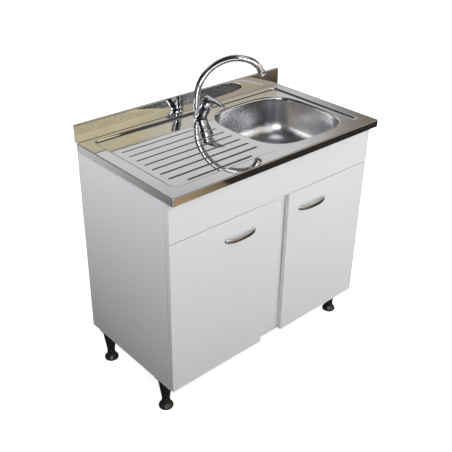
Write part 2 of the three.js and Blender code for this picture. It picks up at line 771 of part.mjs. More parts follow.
// A domed cap over the cartridge with a tapered blade to the front.
function tapLever() {
  const rise = Math.asin(DOME_RIM);
  const steps = 5;
  const profile = [[0, DOME_OUT]];
  for (let i = 1; i <= steps; i += 1) {
    const angle = Math.PI / 2 - ((Math.PI / 2 - rise) * i) / steps;
    profile.push([DOME_OUT * Math.cos(angle), DOME_OUT * Math.sin(angle)]);
  }
  profile.push([0, DOME_OUT * Math.sin(rise)]);
  const dome = turned(profile.reverse()).rotate([TAP_LEAN, 0, 0]);
  const side = new THREE.Shape();
  side.moveTo(0, 10);
  side.lineTo(-14, 22.5);
  side.quadraticCurveTo(-50, 24, -LEVER_REACH + 4, 11);
  side.quadraticCurveTo(-LEVER_REACH, 8, -LEVER_REACH + 3, 5);
  side.quadraticCurveTo(-60, 13, -30, 10);
  side.lineTo(0, 2);
  side.closePath();
  const blade = new THREE.ExtrudeGeometry(side, { depth: 60, bevelEnabled: false, curveSegments: 6 });
  blade.translate(0, 0, -30);
  blade.rotateX(Math.PI / 2);
  blade.rotateZ(Math.PI / 2);
  const half = LEVER_WIDTH / 2;
  const tip = LEVER_TIP_WIDTH / 2;
  const plan = new THREE.Shape();
  plan.moveTo(-half, 6);
  plan.lineTo(-half, -12);
  plan.quadraticCurveTo(-tip - 1, -LEVER_REACH / 2, -tip, -LEVER_REACH + tip);
  plan.quadraticCurveTo(-tip, -LEVER_REACH, 0, -LEVER_REACH);
  plan.quadraticCurveTo(tip, -LEVER_REACH, tip, -LEVER_REACH + tip);
  plan.quadraticCurveTo(tip + 1, -LEVER_REACH / 2, half, -12);
  plan.lineTo(half, 6);
  plan.closePath();
  const paddle = solid(blade).intersect(slab(plan, -30, 40, 6));
  const hole = STEM_HALF + SEAT;
  const stemHole = block(-hole, hole, -hole, hole, 0, DOME_IN + STEM_LAP + SEAT);
  return atPivot(cut(join(dome, paddle), ball(DOME_IN), stemHole.rotate([TAP_LEAN, 0, 0])));
}

// Where the spout's middle line runs: straight up, then three bends, in its own upright plane.
class SpoutLine extends THREE.Curve {
  constructor() {
    super();
    this.runs = [];
    let from = 0;
    for (const { straight, radius, to } of SPOUT_RUNS) {
      const length = straight ?? radius * radians(to - from);
      this.runs.push({ length, radius, from });
      from = to ?? from;
    }
    this.total = this.runs.reduce((sum, run) => sum + run.length, 0);
  }

  // Distance out, height and heading after a length along the line.
  at(length) {
    let out = 0;
    let up = 0;
    let left = length;
    let heading = 0;
    for (const run of this.runs) {
      const part = Math.min(left, run.length);
      const begin = radians(run.from);
      if (run.radius) {
        heading = begin + part / run.radius;
        out += run.radius * (Math.cos(begin) - Math.cos(heading));
        up += run.radius * (Math.sin(heading) - Math.sin(begin));
      } else {
        heading = begin;
        out += part * Math.sin(heading);
        up += part * Math.cos(heading);
      }
      left -= part;
      if (left <= 0) break;
    }
    return { out, up, heading };
  }

  getPoint(t, target = new THREE.Vector3()) {
    const { out, up } = this.at(t * this.total);
    return target.set(out, 0, up);
  }
}

const spoutLine = new SpoutLine();

// Turns and places a body made in the spout's plane, x outwards and z up from the collar.
function onSpout(body) {
  return moved(body.rotate([0, 0, SPOUT_TURN]), TAP_X, SPOUT_Y, SPOUT_Z + SEAT);
}

function spout() {
  const section = new THREE.Shape();
  section.absarc(0, 0, SPOUT_RADIUS, 0, 2 * Math.PI);
  const tube = new THREE.ExtrudeGeometry(section, {
    steps: 32,
    curveSegments: 7,
    extrudePath: spoutLine,
  });
  return onSpout(join(solid(tube), rod(SPIGOT_RADIUS, -SPIGOT_LENGTH, 1, 18)));
}

function spoutCollar() {
  const inner = SPOUT_RADIUS + SEAT;
  return onSpout(ring(inner, inner + COLLAR_WALL, 0, COLLAR_HEIGHT));
}

// The aerator: a sleeve over the spout's end with a screen in its mouth.
function aerator() {
  const over = 9;
  const sleeve = turned([
    [0, SEAT],
    [SPOUT_RADIUS + AERATOR_PLAY, SEAT],
    [SPOUT_RADIUS + AERATOR_PLAY, -over],
    [AERATOR_RADIUS - 0.8, -over],
    [AERATOR_RADIUS, -over + 1],
    [AERATOR_RADIUS, AERATOR_LENGTH - over - 1],
    [AERATOR_RADIUS - 1, AERATOR_LENGTH - over],
    [AERATOR_RADIUS - 3, AERATOR_LENGTH - over],
    [AERATOR_RADIUS - 3.5, AERATOR_LENGTH - over - 2.5],
    [0, AERATOR_LENGTH - over - 2.5],
  ]);
  const end = spoutLine.at(spoutLine.total);
  const turn = THREE.MathUtils.radToDeg(end.heading);
  return onSpout(sleeve.rotate([0, turn, 0]).translate([end.out, 0, end.up]));
}

function tapShank() {
  const top = TAP_BASE_Z - SEAT;
  return moved(ring(SHANK_RADIUS - 3, SHANK_RADIUS, top - SHANK_LENGTH, top), TAP_X, TAP_Y, 0);
}

const DECK_UNDER = RECESS_Z - SHEET;

// The clamp plate under the deck, cut open on one side so that it slips round the hoses.
function tapClamp() {
  const top = DECK_UNDER - SEAT;
  const plate = ring(SHANK_RADIUS + SEAT, SHANK_RADIUS + 12, top - 3, top);
  const mouth = block(-7, 7, SHANK_RADIUS - 4, SHANK_RADIUS + 14, top - 4, top + 1);
  return moved(cut(plate, mouth), TAP_X, TAP_Y, 0);
}

// A hexagonal nut on the shank.
function tapNut() {
  const top = DECK_UNDER - SEAT - 3 - SEAT;
  const nut = ring(SHANK_RADIUS + SEAT, SHANK_RADIUS + 7, top - 9, top, 6);
  const bore = rod(SHANK_RADIUS + SEAT, top - 10, top + 1);
  return moved(cut(nut, bore), TAP_X, TAP_Y, 0);
}

// ---------------------------------------------------------------- cabinet
// side is -1 on the left and +1 on the right.
function sidePanel(side) {
  const [x0, x1] = side < 0 ? [-HALF_CABINET, -INNER_X] : [INNER_X, HALF_CABINET];
  return block(x0, x1, CARCASS_FRONT, CABINET_BACK, CABINET_BOTTOM, CARCASS_TOP);
}

function bottomPanel() {
  const x = INNER_X - SEAT;
  return block(-x, x, CARCASS_FRONT, CABINET_BACK, CABINET_BOTTOM, CABINET_BOTTOM + BOARD);
}

function frontRail() {
  const x = INNER_X - SEAT;
  return block(-x, x, CARCASS_FRONT, CARCASS_FRONT + RAIL_BOARD, RAIL_TOP - RAIL_HEIGHT, RAIL_TOP);
}

function centreStile() {
  const half = STILE_WIDTH / 2;
  const bottom = CABINET_BOTTOM + BOARD + SEAT;
  const top = RAIL_TOP - RAIL_HEIGHT - SEAT;
  return block(-half, half, CARCASS_FRONT, CARCASS_FRONT + RAIL_BOARD, bottom, top);
}

function backRail(z0) {
  const x = INNER_X - SEAT;
  return block(-x, x, CABINET_BACK - BOARD, CABINET_BACK, z0, z0 + BACK_RAIL_HEIGHT);
}

function apron() {
  const x = DOOR_OUTER;
  return block(-x, x, FRONT_PLANE, FRONT_PLANE + BOARD, DOOR_TOP + REVEAL, CARCASS_TOP);
}

function cupCentre(side) {
  return side * (DOOR_OUTER - CUP_INSET);
}

// A disc or cup made along +Z, laid on its side so that it opens to the back of the door.
function towardsBack(body, x, y, z) {
  return body.rotate([-90, 0, 0]).translate([x, y, z]);
}

function door(side) {
  const [x0, x1] = side < 0 ? [-DOOR_OUTER, -DOOR_INNER] : [DOOR_INNER, DOOR_OUTER];
  let board = block(x0, x1, FRONT_PLANE, DOOR_REAR, DOOR_BOTTOM, DOOR_TOP);
  for (const z of Object.values(HINGE_LEVELS)) {
    const bore = rod(CUP_RADIUS + 2 * SEAT, -CUP_DEPTH - SEAT, 1, 16);
    board = cut(board, towardsBack(bore, cupCentre(side), DOOR_REAR, z));
  }
  return board;
}

// The cup sunk in the door, with its screw flange on the door's back.
function hingeCup(side, z) {
  const flange = 1.2;
  const wide = 10.5;
  const tall = 29;
  const cup = turned(
    [
      [0, -CUP_DEPTH],
      [CUP_RADIUS, -CUP_DEPTH],
      [CUP_RADIUS, SEAT + flange],
      [CUP_RADIUS - CUP_WALL, SEAT + flange],
      [CUP_RADIUS - CUP_WALL, -CUP_DEPTH + CUP_WALL],
      [0, -CUP_DEPTH + CUP_WALL],
    ],
    16,
  );
  const plate = cut(
    block(-wide, wide, -tall, tall, SEAT, SEAT + flange),
    rod(CUP_RADIUS - CUP_WALL, 0, 2 + flange, 16),
  );
  return towardsBack(join(cup, plate), cupCentre(side), DOOR_REAR, z);
}

// The arm and its mounting plate on the side panel, with the nose that reaches into the cup.
function hingeArm(side, z) {
  const wall = side * (INNER_X - SEAT);
  const inwards = -side;
  const span = (a, b) => [wall + inwards * a, wall + inwards * b].sort((p, q) => p - q);
  const noseEnd = DOOR_REAR - CUP_DEPTH + CUP_WALL + SEAT;
  const plate = block(...span(0, 3), CARCASS_FRONT + 24, CARCASS_FRONT + 62, z - 24, z + 24);
  const arm = block(...span(2, 13), CARCASS_FRONT + 9, CARCASS_FRONT + 74, z - 9, z + 9);
  const nose = block(...span(-3, 8), noseEnd, CARCASS_FRONT + 12, z - 7, z + 7);
  const relief = block(...span(-4, 0), CARCASS_FRONT - 1, CARCASS_FRONT + 13, z - 8, z + 8);
  const foreEdge = block(...span(-4, 0.8), DOOR_REAR, CARCASS_FRONT + 13, z - 8, z + 8);
  return cut(join(plate, arm, nose), relief, foreEdge);
}

// A bow handle: a crescent in plan, with rounded edges.
function handle(side) {
  const half = HANDLE_SPAN / 2;
  const edge = 2.5;
  const bow = new THREE.Shape();
  bow.moveTo(-half, 0);
  bow.bezierCurveTo(-half + 8, -14, -half + 26, -HANDLE_STANDOFF, 0, -HANDLE_STANDOFF);
  bow.bezierCurveTo(half - 26, -HANDLE_STANDOFF, half - 8, -14, half, 0);
  bow.lineTo(half - 14, 0);
  bow.bezierCurveTo(half - 24, -12, half - 38, -HANDLE_STANDOFF + 8, 0, -HANDLE_STANDOFF + 8);
  bow.bezierCurveTo(-half + 38, -HANDLE_STANDOFF + 8, -half + 24, -12, -half + 14, 0);
  bow.closePath();
  const strap = new THREE.ExtrudeGeometry(bow, {
    depth: HANDLE_HEIGHT - 2 * edge,
    bevelThickness: edge,
    bevelSize: edge,
    bevelOffset: -edge,
    bevelSegments: 2,
    curveSegments: 7,
  });
  strap.translate(0, 0, -HANDLE_HEIGHT / 2 + edge);
  const x = side * (DOOR_INNER + HANDLE_FROM_EDGE);
  return moved(solid(strap), x, FRONT_PLANE - SEAT, DOOR_TOP - HANDLE_DROP);
}

// The fixed part of a leg: a plate under the cabinet and a tapered tube.
function legSocket() {
  const top = CABINET_BOTTOM - SEAT;
  const plateHalf = 25.5;
  const plate = roundedRectangle(-plateHalf, plateHalf, -plateHalf, plateHalf, 8);
  const tube = turned(
    [
      [SPINDLE_RADIUS + SEAT, LEG_NECK_Z],
      [LEG_NECK_RADIUS, LEG_NECK_Z],
      [LEG_TOP_RADIUS, top - 12],
      [LEG_TOP_RADIUS, top - 2],
      [0, top - 2],
      [0, SPINDLE_TOP + 6],
      [SPINDLE_RADIUS + SEAT, SPINDLE_TOP + 4],
      [SPINDLE_RADIUS + SEAT, LEG_NECK_Z],
    ],
    16,
  );
  return join(tube, slab(plate, top - 4, top, 2));
}

// The screw foot: a wide base, a waist and the spindle that goes up the socket.
function legFoot() {
  return turned(
    [
      [0, 0],
      [FOOT_RADIUS - 1, 0],
      [FOOT_RADIUS, 1.5],
      [FOOT_RADIUS, 6],
      [FOOT_RADIUS - 8, 13],
      [LEG_NECK_RADIUS + 1, 26],
      [LEG_NECK_RADIUS, LEG_NECK_Z - SEAT],
      [SPINDLE_RADIUS, LEG_NECK_Z - SEAT],
      [SPINDLE_RADIUS, SPINDLE_TOP],
      [0, SPINDLE_TOP],
    ],
    16,
  );
}

// ---------------------------------------------------------------- the assembly
const LOOKS = {
  steel: { color: 0xb9b7ae, roughness: 0.18, metalness: 1 },
  bowlSteel: { color: 0xaaacb0, roughness: 0.35, metalness: 1 },
  chrome: { color: 0xd4d6da, roughness: 0.06, metalness: 1 },
  satin: { color: 0xa6a8aa, roughness: 0.3, metalness: 1 },
  zinc: { color: 0x9a9ca0, roughness: 0.35, metalness: 1 },
  brass: { color: 0xb99a5a, roughness: 0.35, metalness: 1 },
  white: { color: 0xd9dadc, roughness: 0.45, metalness: 0 },
  whitePlastic: { color: 0xeceded, roughness: 0.4, metalness: 0 },
  blackPlastic: { color: 0x161616, roughness: 0.25, metalness: 0 },
  rubber: { color: 0x1c1c1c, roughness: 0.8, metalness: 0 },
};

const unit = new THREE.Group();

function addPiece(name, body, look, parent = unit) {
  const mesh = new THREE.Mesh(geometryOf(body), new THREE.MeshStandardMaterial(LOOKS[look]));
  mesh.name = name;
  parent.add(mesh);
}

addPiece("sink_deck", sinkDeck(), "steel");
addPiece("sink_bowl", sinkBowl(), "bowlSteel");

// The waste and the trap stand on one upright line under the bowl.
const drain = new THREE.Group();
drain.position.set(BOWL_X, BOWL_Y, 0);
unit.add(drain);
addPiece("strainer_cup", strainerCup(), "steel", drain);
addPiece("waste_gasket", wasteGasket(), "rubber", drain);
addPiece("waste_locknut", wasteLocknut(), "whitePlastic", drain);
addPiece("basket_plug", basketPlug(), "steel", drain);
addPiece("basket_seal", basketSeal(), "rubber", drain);
addPiece("tailpiece_nut", tailpieceNut(), "whitePlastic", drain);
addPiece("inlet_pipe", inletPipe(), "whitePlastic", drain);
addPiece("trap_nut", trapNut(), "whitePlastic", drain);
addPiece("trap_bottle", trapBottle(), "whitePlastic", drain);
addPiece("trap_cup", trapCup(), "whitePlastic", drain);
addPiece("outlet_nut", outletNut(), "whitePlastic", drain);
addPiece("outlet_pipe", outletPipe(), "whitePlastic", drain);

addPiece("tap_gasket", tapGasket(), "rubber");
addPiece("tap_body", tapBody(), "chrome");
addPiece("tap_cartridge", cartridge(), "whitePlastic");
addPiece("cartridge_carrier", cartridgeCarrier(), "whitePlastic");
addPiece("cartridge_cap", cartridgeCap(), "chrome");
addPiece("lever_stem", leverStem(), "brass");
addPiece("tap_lever", tapLever(), "chrome");
addPiece("tap_spout", spout(), "chrome");
addPiece("spout_collar", spoutCollar(), "chrome");
addPiece("aerator", aerator(), "chrome");
addPiece("tap_shank", tapShank(), "brass");
addPiece("tap_clamp", tapClamp(), "zinc");
addPiece("tap_nut", tapNut(), "brass");

addPiece("bottom_panel", bottomPanel(), "white");
addPiece("front_rail", frontRail(), "white");
addPiece("centre_stile", centreStile(), "white");
addPiece("back_rail_top", backRail(CARCASS_TOP - BACK_RAIL_HEIGHT), "white");
addPiece("back_rail_low", backRail(CABINET_BOTTOM + BOARD + SEAT), "white");
addPiece("apron", apron(), "white");

for (const [word, side] of [
  ["left", -1],
  ["right", 1],
]) {
  addPiece(`${word}_side`, sidePanel(side), "white");
  addPiece(`${word}_door`, door(side), "white");
  addPiece(`${word}_handle`, handle(side), "satin");
  for (const [level, z] of Object.entries(HINGE_LEVELS)) {
    addPiece(`${word}_${level}_hinge_cup`, hingeCup(side, z), "zinc");
    addPiece(`${word}_${level}_hinge_arm`, hingeArm(side, z), "zinc");
  }
  for (const [place, y] of [
    ["front", LEG_FRONT_Y],
    ["back", LEG_BACK_Y],
  ]) {
    const leg = new THREE.Group();
    leg.position.set(side * LEG_X, y, 0);
    unit.add(leg);
    addPiece(`${word}_${place}_leg`, legSocket(), "blackPlastic", leg);
    addPiece(`${word}_${place}_foot`, legFoot(), "blackPlastic", leg);
  }
}

export default unit;
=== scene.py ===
"""The looks of the kitchen sink unit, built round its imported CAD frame.

Sizes in the piece functions are millimetres; every finished mesh is in metres, at rest, in the
frame's own place. X runs along the front, +Y to the back, and z = 0 is the floor.
"""

import math

import bmesh
import bpy
import numpy as np
from mathutils import Matrix, Vector
from mathutils.geometry import delaunay_2d_cdt


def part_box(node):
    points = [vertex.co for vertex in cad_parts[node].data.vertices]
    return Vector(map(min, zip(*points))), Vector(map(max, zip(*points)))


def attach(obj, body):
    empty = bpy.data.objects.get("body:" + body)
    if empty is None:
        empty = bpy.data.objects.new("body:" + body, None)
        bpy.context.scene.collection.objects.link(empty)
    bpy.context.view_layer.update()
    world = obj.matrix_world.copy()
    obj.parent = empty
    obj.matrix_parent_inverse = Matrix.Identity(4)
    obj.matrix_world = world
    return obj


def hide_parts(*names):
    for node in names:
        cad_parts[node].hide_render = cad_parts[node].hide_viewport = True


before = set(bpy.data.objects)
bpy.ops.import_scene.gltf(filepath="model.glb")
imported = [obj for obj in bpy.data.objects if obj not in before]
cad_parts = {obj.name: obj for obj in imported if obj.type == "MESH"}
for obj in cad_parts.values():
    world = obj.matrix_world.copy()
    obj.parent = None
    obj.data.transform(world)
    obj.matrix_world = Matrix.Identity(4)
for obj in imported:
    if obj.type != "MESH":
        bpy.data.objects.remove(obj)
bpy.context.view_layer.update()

MM = 0.001
TAU = 2 * math.pi

# ------------------------------------------------------------------ sizes in millimetres
TOP_HALF_X, TOP_HALF_Y, TOP_Z = 450, 250, 850
SHEET = 1.2
SKIRT_Z = 825
SKIRT_CORNER = 5
EDGE_ROUND = 3.5
UPSTAND_Y, UPSTAND_Z = 236, 909
UPSTAND_FOOT, UPSTAND_BEND = 848.9, 2.5
# The upstand's lean at its foot and at its top, in degrees.
UPSTAND_LEANS = (4, 8.5)
# The share of that lean along x: less at the right, where the top stays stiff.
UPSTAND_WARP = (
    (-450, 1), (-250, 1), (-100, 1), (0, 0.9), (80, 0.7), (160, 0.5), (240, 0.4), (340, 0.35), (450, 0.35)
)
RECESS_Z = 844
# Left, right, front and back of the recess, and its corner radius.
RECESS = (-408, 408, -203, 216, 26)
STEP_WIDTH, NARROW_STEP, FRONT_STEP = 14, 4, 6
# Where the front step's narrow stretch by the bowl begins, is full, wanes and ends.
BY_BOWL = (-60, 10, 370, 385)
# Where the back step's wider stretch begins, is full, wanes and ends, and how much it adds.
BACK_FAN = (-400, -90, 25, 55, 19)
STEP_BULGE = 0.02
BOWL_X, BOWL_Y, BOWL_HALF_X, BOWL_HALF_Y = 196, -8, 193, 188
# The power of the bowl's superellipse at its wall, and how much of it the fillet takes off.
BOWL_SQUARENESS, FLOOR_LOOSER = 3.3, 0.5
BOWL_LIP = 8
LIP_END = 834
BOWL_FLOOR = 690
BOWL_DRAFT, BOWL_FILLET = 4, 70
WASTE_HOLE, SEAT_RADIUS = 44.5, 57
# Radius, height and lean of the rings that lead from the bowl's floor down to the waste's seat.
SEAT_RINGS = (
    (60, 685.9, -0.35), (58.6, 684.6, -1.2), (57.4, 682.9, -1.0), (55.5, 682.05, -0.2), (50, 682, 0),
    (WASTE_HOLE, 682, 0)
)
# Middle y, left end and right end of the drainer's grooves, the back one first.
GROOVES = [(97 - 39 * i, -372, -26) for i in range(8)]
GROOVES[0] = (97, -372, -49.4)
GROOVES[7] = (-176, -333, -84.5)
TAP_X, TAP_Y, TAP_Z = 2, 168, 846.1
TAP_HOLE = 17.5
TAP_LEAN = 30
HOUSING_LENGTH = 69
SPOUT_Y, SPOUT_Z = 190, 881.3
SPOUT_TURN, SPOUT_RADIUS = -52, 11
# Length of a straight run or radius of a bend, and the lean at its end in degrees.
SPOUT_RUNS = ((18.2, None, 0), (None, 159.3, 72.4), (None, 113.7, 110.8), (None, 56, 156), (11, None, 156))
# The gap left between pieces that touch.
SEAM = 0.3
# Control points of the handle's outer and inner curve, from one foot to the middle.
HANDLE_OUT = [(-66, 0), (-61, -11), (-42, -20.5), (0, -20.5)]
HANDLE_IN = [(-51, 0), (-43, -9), (-30, -14), (0, -14)]
HANDLE_X, HANDLE_Y, HANDLE_Z, HANDLE_HALF_HEIGHT = 165, -222.3, 613.5, 7.5


# ------------------------------------------------------------------ meshes
class Skin:
    """Points with their normals and the faces between them, in millimetres."""

    def __init__(self):
        self.points = []
        self.normals = []
        self.faces = []

    def row(self, points, normals):
        """Adds points with their normals and returns their numbers."""
        start = len(self.points)
        self.points += [tuple(p) for p in points]
        self.normals += [tuple(n) for n in normals]
        return list(range(start, len(self.points)))

    def band(self, first, second, closed=True):
        """Adds the faces between two rows."""
        count = len(first)
        for i in range(count if closed else count - 1):
            j = (i + 1) % count
            self.faces.append((first[i], first[j], second[j], second[i]))

    def bands(self, rows, closed=True):
        for first, second in zip(rows, rows[1:]):
            self.band(first, second, closed)

    def level(self, outer, holes):
        """Fills the flat area inside the row `outer` and outside the rows `holes`."""
        used = [i for row in (outer, *holes) for i in row]
        place = {i: k for k, i in enumerate(used)}
        flat = [Vector(self.points[i][:2]) for i in used]
        edges = [(place[a], place[b]) for row in (outer, *holes) for a, b in zip(row, row[1:] + row[:1])]
        only_inside, near = 1, 1e-5
        made = delaunay_2d_cdt(flat, edges, [], only_inside, near, True)
        corners, triangles, origins = made[0], made[2], made[3]
        polygons = [np.array([self.points[i][:2] for i in row]) for row in holes]
        for triangle in triangles:
            middle = sum((corners[k] for k in triangle), Vector((0, 0))) / 3
            if not any(inside(middle, polygon) for polygon in polygons):
                self.faces.append(tuple(used[origins[k][0]] for k in triangle))

    def shell(self, thickness):
        """Points, faces and corner normals of the closed sheet under this surface."""
        points, normals = np.array(self.points), np.array(self.normals, float)
        normals /= np.linalg.norm(normals, axis=1)[:, None]
        faces = [turned_out(face, points, normals) for face in self.faces]
        count = len(points)
        every = np.vstack([points, points - normals * thickness])
        corner = [normals[i] for face in faces for i in face]
        under = [tuple(i + count for i in reversed(face)) for face in faces]
        corner += [-normals[i - count] for face in under for i in face]
        seen = dict.fromkeys((a, b) for face in faces for a, b in zip(face, face[1:] + face[:1]))
        rims = [(b, a, a + count, b + count) for a, b in seen if (b, a) not in seen]
        for face in rims:
            p = [every[i] for i in face]
            normal = np.cross(p[1] - p[0], p[2] - p[1])
            corner += [normal / max(np.linalg.norm(normal), 1e-9)] * 4
        return every, faces + under + rims, corner


def inside(point, polygon):
    """True where the point lies within the polygon."""
    x, y = polygon[:, 0], polygon[:, 1]
    u, v = np.roll(x, -1), np.roll(y, -1)
    crossing = ((y > point[1]) != (v > point[1])) & (
        point[0] < (u - x) * (point[1] - y) / np.where(v == y, 1e-12, v - y) + x
    )
    return bool(crossing.sum() % 2)


def turned_out(face, points, normals):
    """The face in the order that makes it face as its points' normals do."""
    a, b, c = (points[i] for i in face[:3])
    normal = np.cross(b - a, c - a)
    if len(face) == 4:
        normal = np.cross(points[face[2]] - a, points[face[3]] - b)
    wanted = sum(normals[i] for i in face)
    return tuple(face) if normal @ wanted > 0 else tuple(reversed(face))


def linked(name, data):
    """A new object in the scene with the given mesh, camera or lamp."""
    made = bpy.data.objects.new(name, data)
    bpy.context.scene.collection.objects.link(made)
    return made


def smooth(mesh):
    """Sets every face to shade smoothly."""
    mesh.polygons.foreach_set("use_smooth", [True] * len(mesh.polygons))


def piece(name, points, faces, material, corner_normals=None):
    """A mesh object in metres from millimetres; smooth, with the given corner normals."""
    mesh = bpy.data.meshes.new(name)
    mesh.from_pydata([Vector(p) * MM for p in points], [], [list(f) for f in faces])
    smooth(mesh)
    mesh.materials.append(material)
    mesh.update()
    if corner_normals is not None:
        mesh.normals_split_custom_set([tuple(n) for n in corner_normals])
    return linked(name, mesh)


def settle(made, body, node):
    """Rides the piece on its body and hides the CAD node it stands for."""
    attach(made, body)
    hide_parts(node)
    return made


def baked(made):
    """Turns an object's modifiers into plain mesh."""
    bpy.context.view_layer.update()
    graph = bpy.context.evaluated_depsgraph_get()
    mesh = bpy.data.meshes.new_from_object(made.evaluated_get(graph), depsgraph=graph)
    made.modifiers.clear()
    made.data = mesh
    return made


def joined(name, parts):
    """One object of several, with their corner normals kept."""
    points, faces, corner, slots, used = [], [], [], [], []
    for part in parts:
        mesh = part.data
        start = len(points)
        points += [v.co / MM for v in mesh.vertices]
        material = mesh.materials[0]
        if material not in used:
            used.append(material)
        for polygon in mesh.polygons:
            faces.append([start + i for i in polygon.vertices])
            slots.append(used.index(material))
        corner += [tuple(n.vector) for n in mesh.corner_normals]
        bpy.data.objects.remove(part)
    made = piece(name, points, faces, used[0], corner)
    for material in used[1:]:
        made.data.materials.append(material)
    made.data.polygons.foreach_set("material_index", slots)
    return made


def creased(made, degrees=35):
    """Marks the edges sharper than `degrees`, so that the rest shades smoothly."""
    work = bmesh.new()
    work.from_mesh(made.data)
    bmesh.ops.recalc_face_normals(work, faces=work.faces)
    for edge in work.edges:
        edge.smooth = len(edge.link_faces) == 2 and edge.calc_face_angle(0) < math.radians(degrees)
    work.to_mesh(made.data)
    work.free()
    return made


def rounded_profile(corners, steps=4):
    """A polyline of (radius, z) from (radius, z, round) corners, each rounded by its own amount."""
    out = []
    count = len(corners)
    closed = corners[0][:2] == corners[-1][:2]
    for i, (r, z, *extra) in enumerate(corners):
        amount = extra[0] if extra else 0
        inner = 0 < i < count - 1
        if not amount or not inner:
            out.append((r, z))
            continue
        here = Vector((r, z))
        before = Vector(corners[i - 1][:2]) - here
        after = Vector(corners[i + 1][:2]) - here
        amount = min(amount, before.length * 0.49, after.length * 0.49)
        start, end = here + before.normalized() * amount, here + after.normalized() * amount
        for k in range(steps + 1):
            t = k / steps
            out.append(tuple(start * (1 - t) ** 2 + here * 2 * t * (1 - t) + end * t * t))
    if closed:
        out[-1] = out[0]
    return out


def turned(name, corners, material, segments=48, place=Matrix(), steps=4, crease=35):
    """A profile of (radius, z, round) corners turned about Z, then put at `place`."""
    profile = rounded_profile(corners, steps)
    closed = profile[0] == profile[-1]
    if closed:
        profile = profile[:-1]
    points, rings, faces = [], [], []
    for r, z in profile:
        if r < 1e-6:
            rings.append([len(points)] * segments)
            points.append((0, 0, z))
            continue
        rings.append(list(range(len(points), len(points) + segments)))
        for k in range(segments):
            angle = TAU * k / segments
            points.append((r * math.cos(angle), r * math.sin(angle), z))
    pairs = list(zip(rings, rings[1:])) + ([(rings[-1], rings[0])] if closed else [])
    for low, high in pairs:
        for k in range(segments):
            j = (k + 1) % segments
            face = [low[k], low[j], high[j], high[k]]
            face = [p for n, p in enumerate(face) if p not in face[:n]]
            if len(face) > 2:
                faces.append(face)
    made = piece(name, [place @ Vector(p) for p in points], faces, material)
    return creased(made, crease)


def cast(name, field, low, high, step, material):
    """A closed casting where field(x, y, z) < 0, in millimetres: a point per crossed cell,
    moved onto the surface, with the surface's own normals."""
    axes = [np.arange(low[k], high[k] + step, step) for k in range(3)]
    grid = np.meshgrid(*axes, indexing="ij")
    solid = field(*grid) < 0
    corners = [
        solid[i : i - 1 or None, j : j - 1 or None, k : k - 1 or None]
        for i in (0, 1)
        for j in (0, 1)
        for k in (0, 1)
    ]
    total = sum(c.astype(int) for c in corners)
    cells = (total > 0) & (total < 8)
    number = -np.ones(cells.shape, int)
    number[cells] = np.arange(cells.sum())
    where = np.argwhere(cells)
    points = where * step + np.array(low) + step / 2

    def slope(p):
        probe = 0.02
        out = np.empty_like(p)
        for k in range(3):
            ahead, behind = p.copy(), p.copy()
            ahead[:, k] += probe
            behind[:, k] -= probe
            out[:, k] = (field(*ahead.T) - field(*behind.T)) / (2 * probe)
        return out

    for _ in range(5):
        grad = slope(points)
        move = field(*points.T)[:, None] * grad / np.maximum((grad**2).sum(1), 1e-6)[:, None]
        reach = np.linalg.norm(move, axis=1)[:, None]
        points -= move * np.minimum(1, 0.5 * step / np.maximum(reach, 1e-9))
    normals = slope(points)
    normals /= np.maximum(np.linalg.norm(normals, axis=1), 1e-9)[:, None]
    faces = []
    for k in range(3):
        a, b = [(1, 2), (2, 0), (0, 1)][k]
        first = solid[tuple(slice(0, -1) if n == k else slice(1, -1) for n in range(3))]
        second = solid[tuple(slice(1, None) if n == k else slice(1, -1) for n in range(3))]
        for sign, found in ((1, first & ~second), (-1, ~first & second)):
            at = np.argwhere(found)
            ring = []
            for da, db in ((-1, -1), (0, -1), (0, 0), (-1, 0)):
                cell = at.copy()
                cell[:, a] += 1 + da
                cell[:, b] += 1 + db
                ring.append(number[tuple(cell.T)])
            quads = np.array(ring).T
            faces += [tuple(q if sign > 0 else q[::-1]) for q in quads]
    return piece(name, points, faces, material, [normals[i] for face in faces for i in face])


def blended(a, b, radius):
    """The union of two distance fields with a fillet of about `radius`."""
    h = np.clip(0.5 + 0.5 * (b - a) / radius, 0, 1)
    return b + (a - b) * h - radius * h * (1 - h)


def hollowed(a, b, radius):
    """Field a less field b, with the edge rounded by `radius`."""
    return -blended(-a, b, radius)


def evened(made):
    """Bakes the object with normals that follow its larger faces."""
    made.modifiers.new("even", "WEIGHTED_NORMAL").keep_sharp = True
    return baked(made)


def placed(made, place):
    """Moves a finished mesh to `place`, which is in millimetres."""
    shift = place.copy()
    shift.translation = place.translation * MM
    made.data.transform(shift)
    return made


def cylinder(x, y, z, start, end, radius, soft):
    """A cylinder between two points with its edges rounded by `soft`; radius is a function of 0..1."""
    s, e = np.array(start, float), np.array(end, float)
    length = np.linalg.norm(e - s)
    axis = (e - s) / length
    along = (x - s[0]) * axis[0] + (y - s[1]) * axis[1] + (z - s[2]) * axis[2]
    px, py, pz = (c - s[k] - along * axis[k] for k, c in enumerate((x, y, z)))
    away = np.sqrt(px**2 + py**2 + pz**2)
    r = radius(np.clip(along / length, 0, 1)) if callable(radius) else radius
    past_side = away - r + soft
    past_end = np.abs(along - length / 2) - length / 2 + soft
    outside = np.sqrt(np.maximum(past_side, 0) ** 2 + np.maximum(past_end, 0) ** 2)
    return outside + np.minimum(np.maximum(past_side, past_end), 0) - soft


# ------------------------------------------------------------------ materials
POSITION = ("Position", "NodeSocketVector", None)
# Depth in metres of the polish lines, and roughness of a clear coat.
LINE_DEPTH, COAT_ROUGHNESS = 0.00001, 0.08


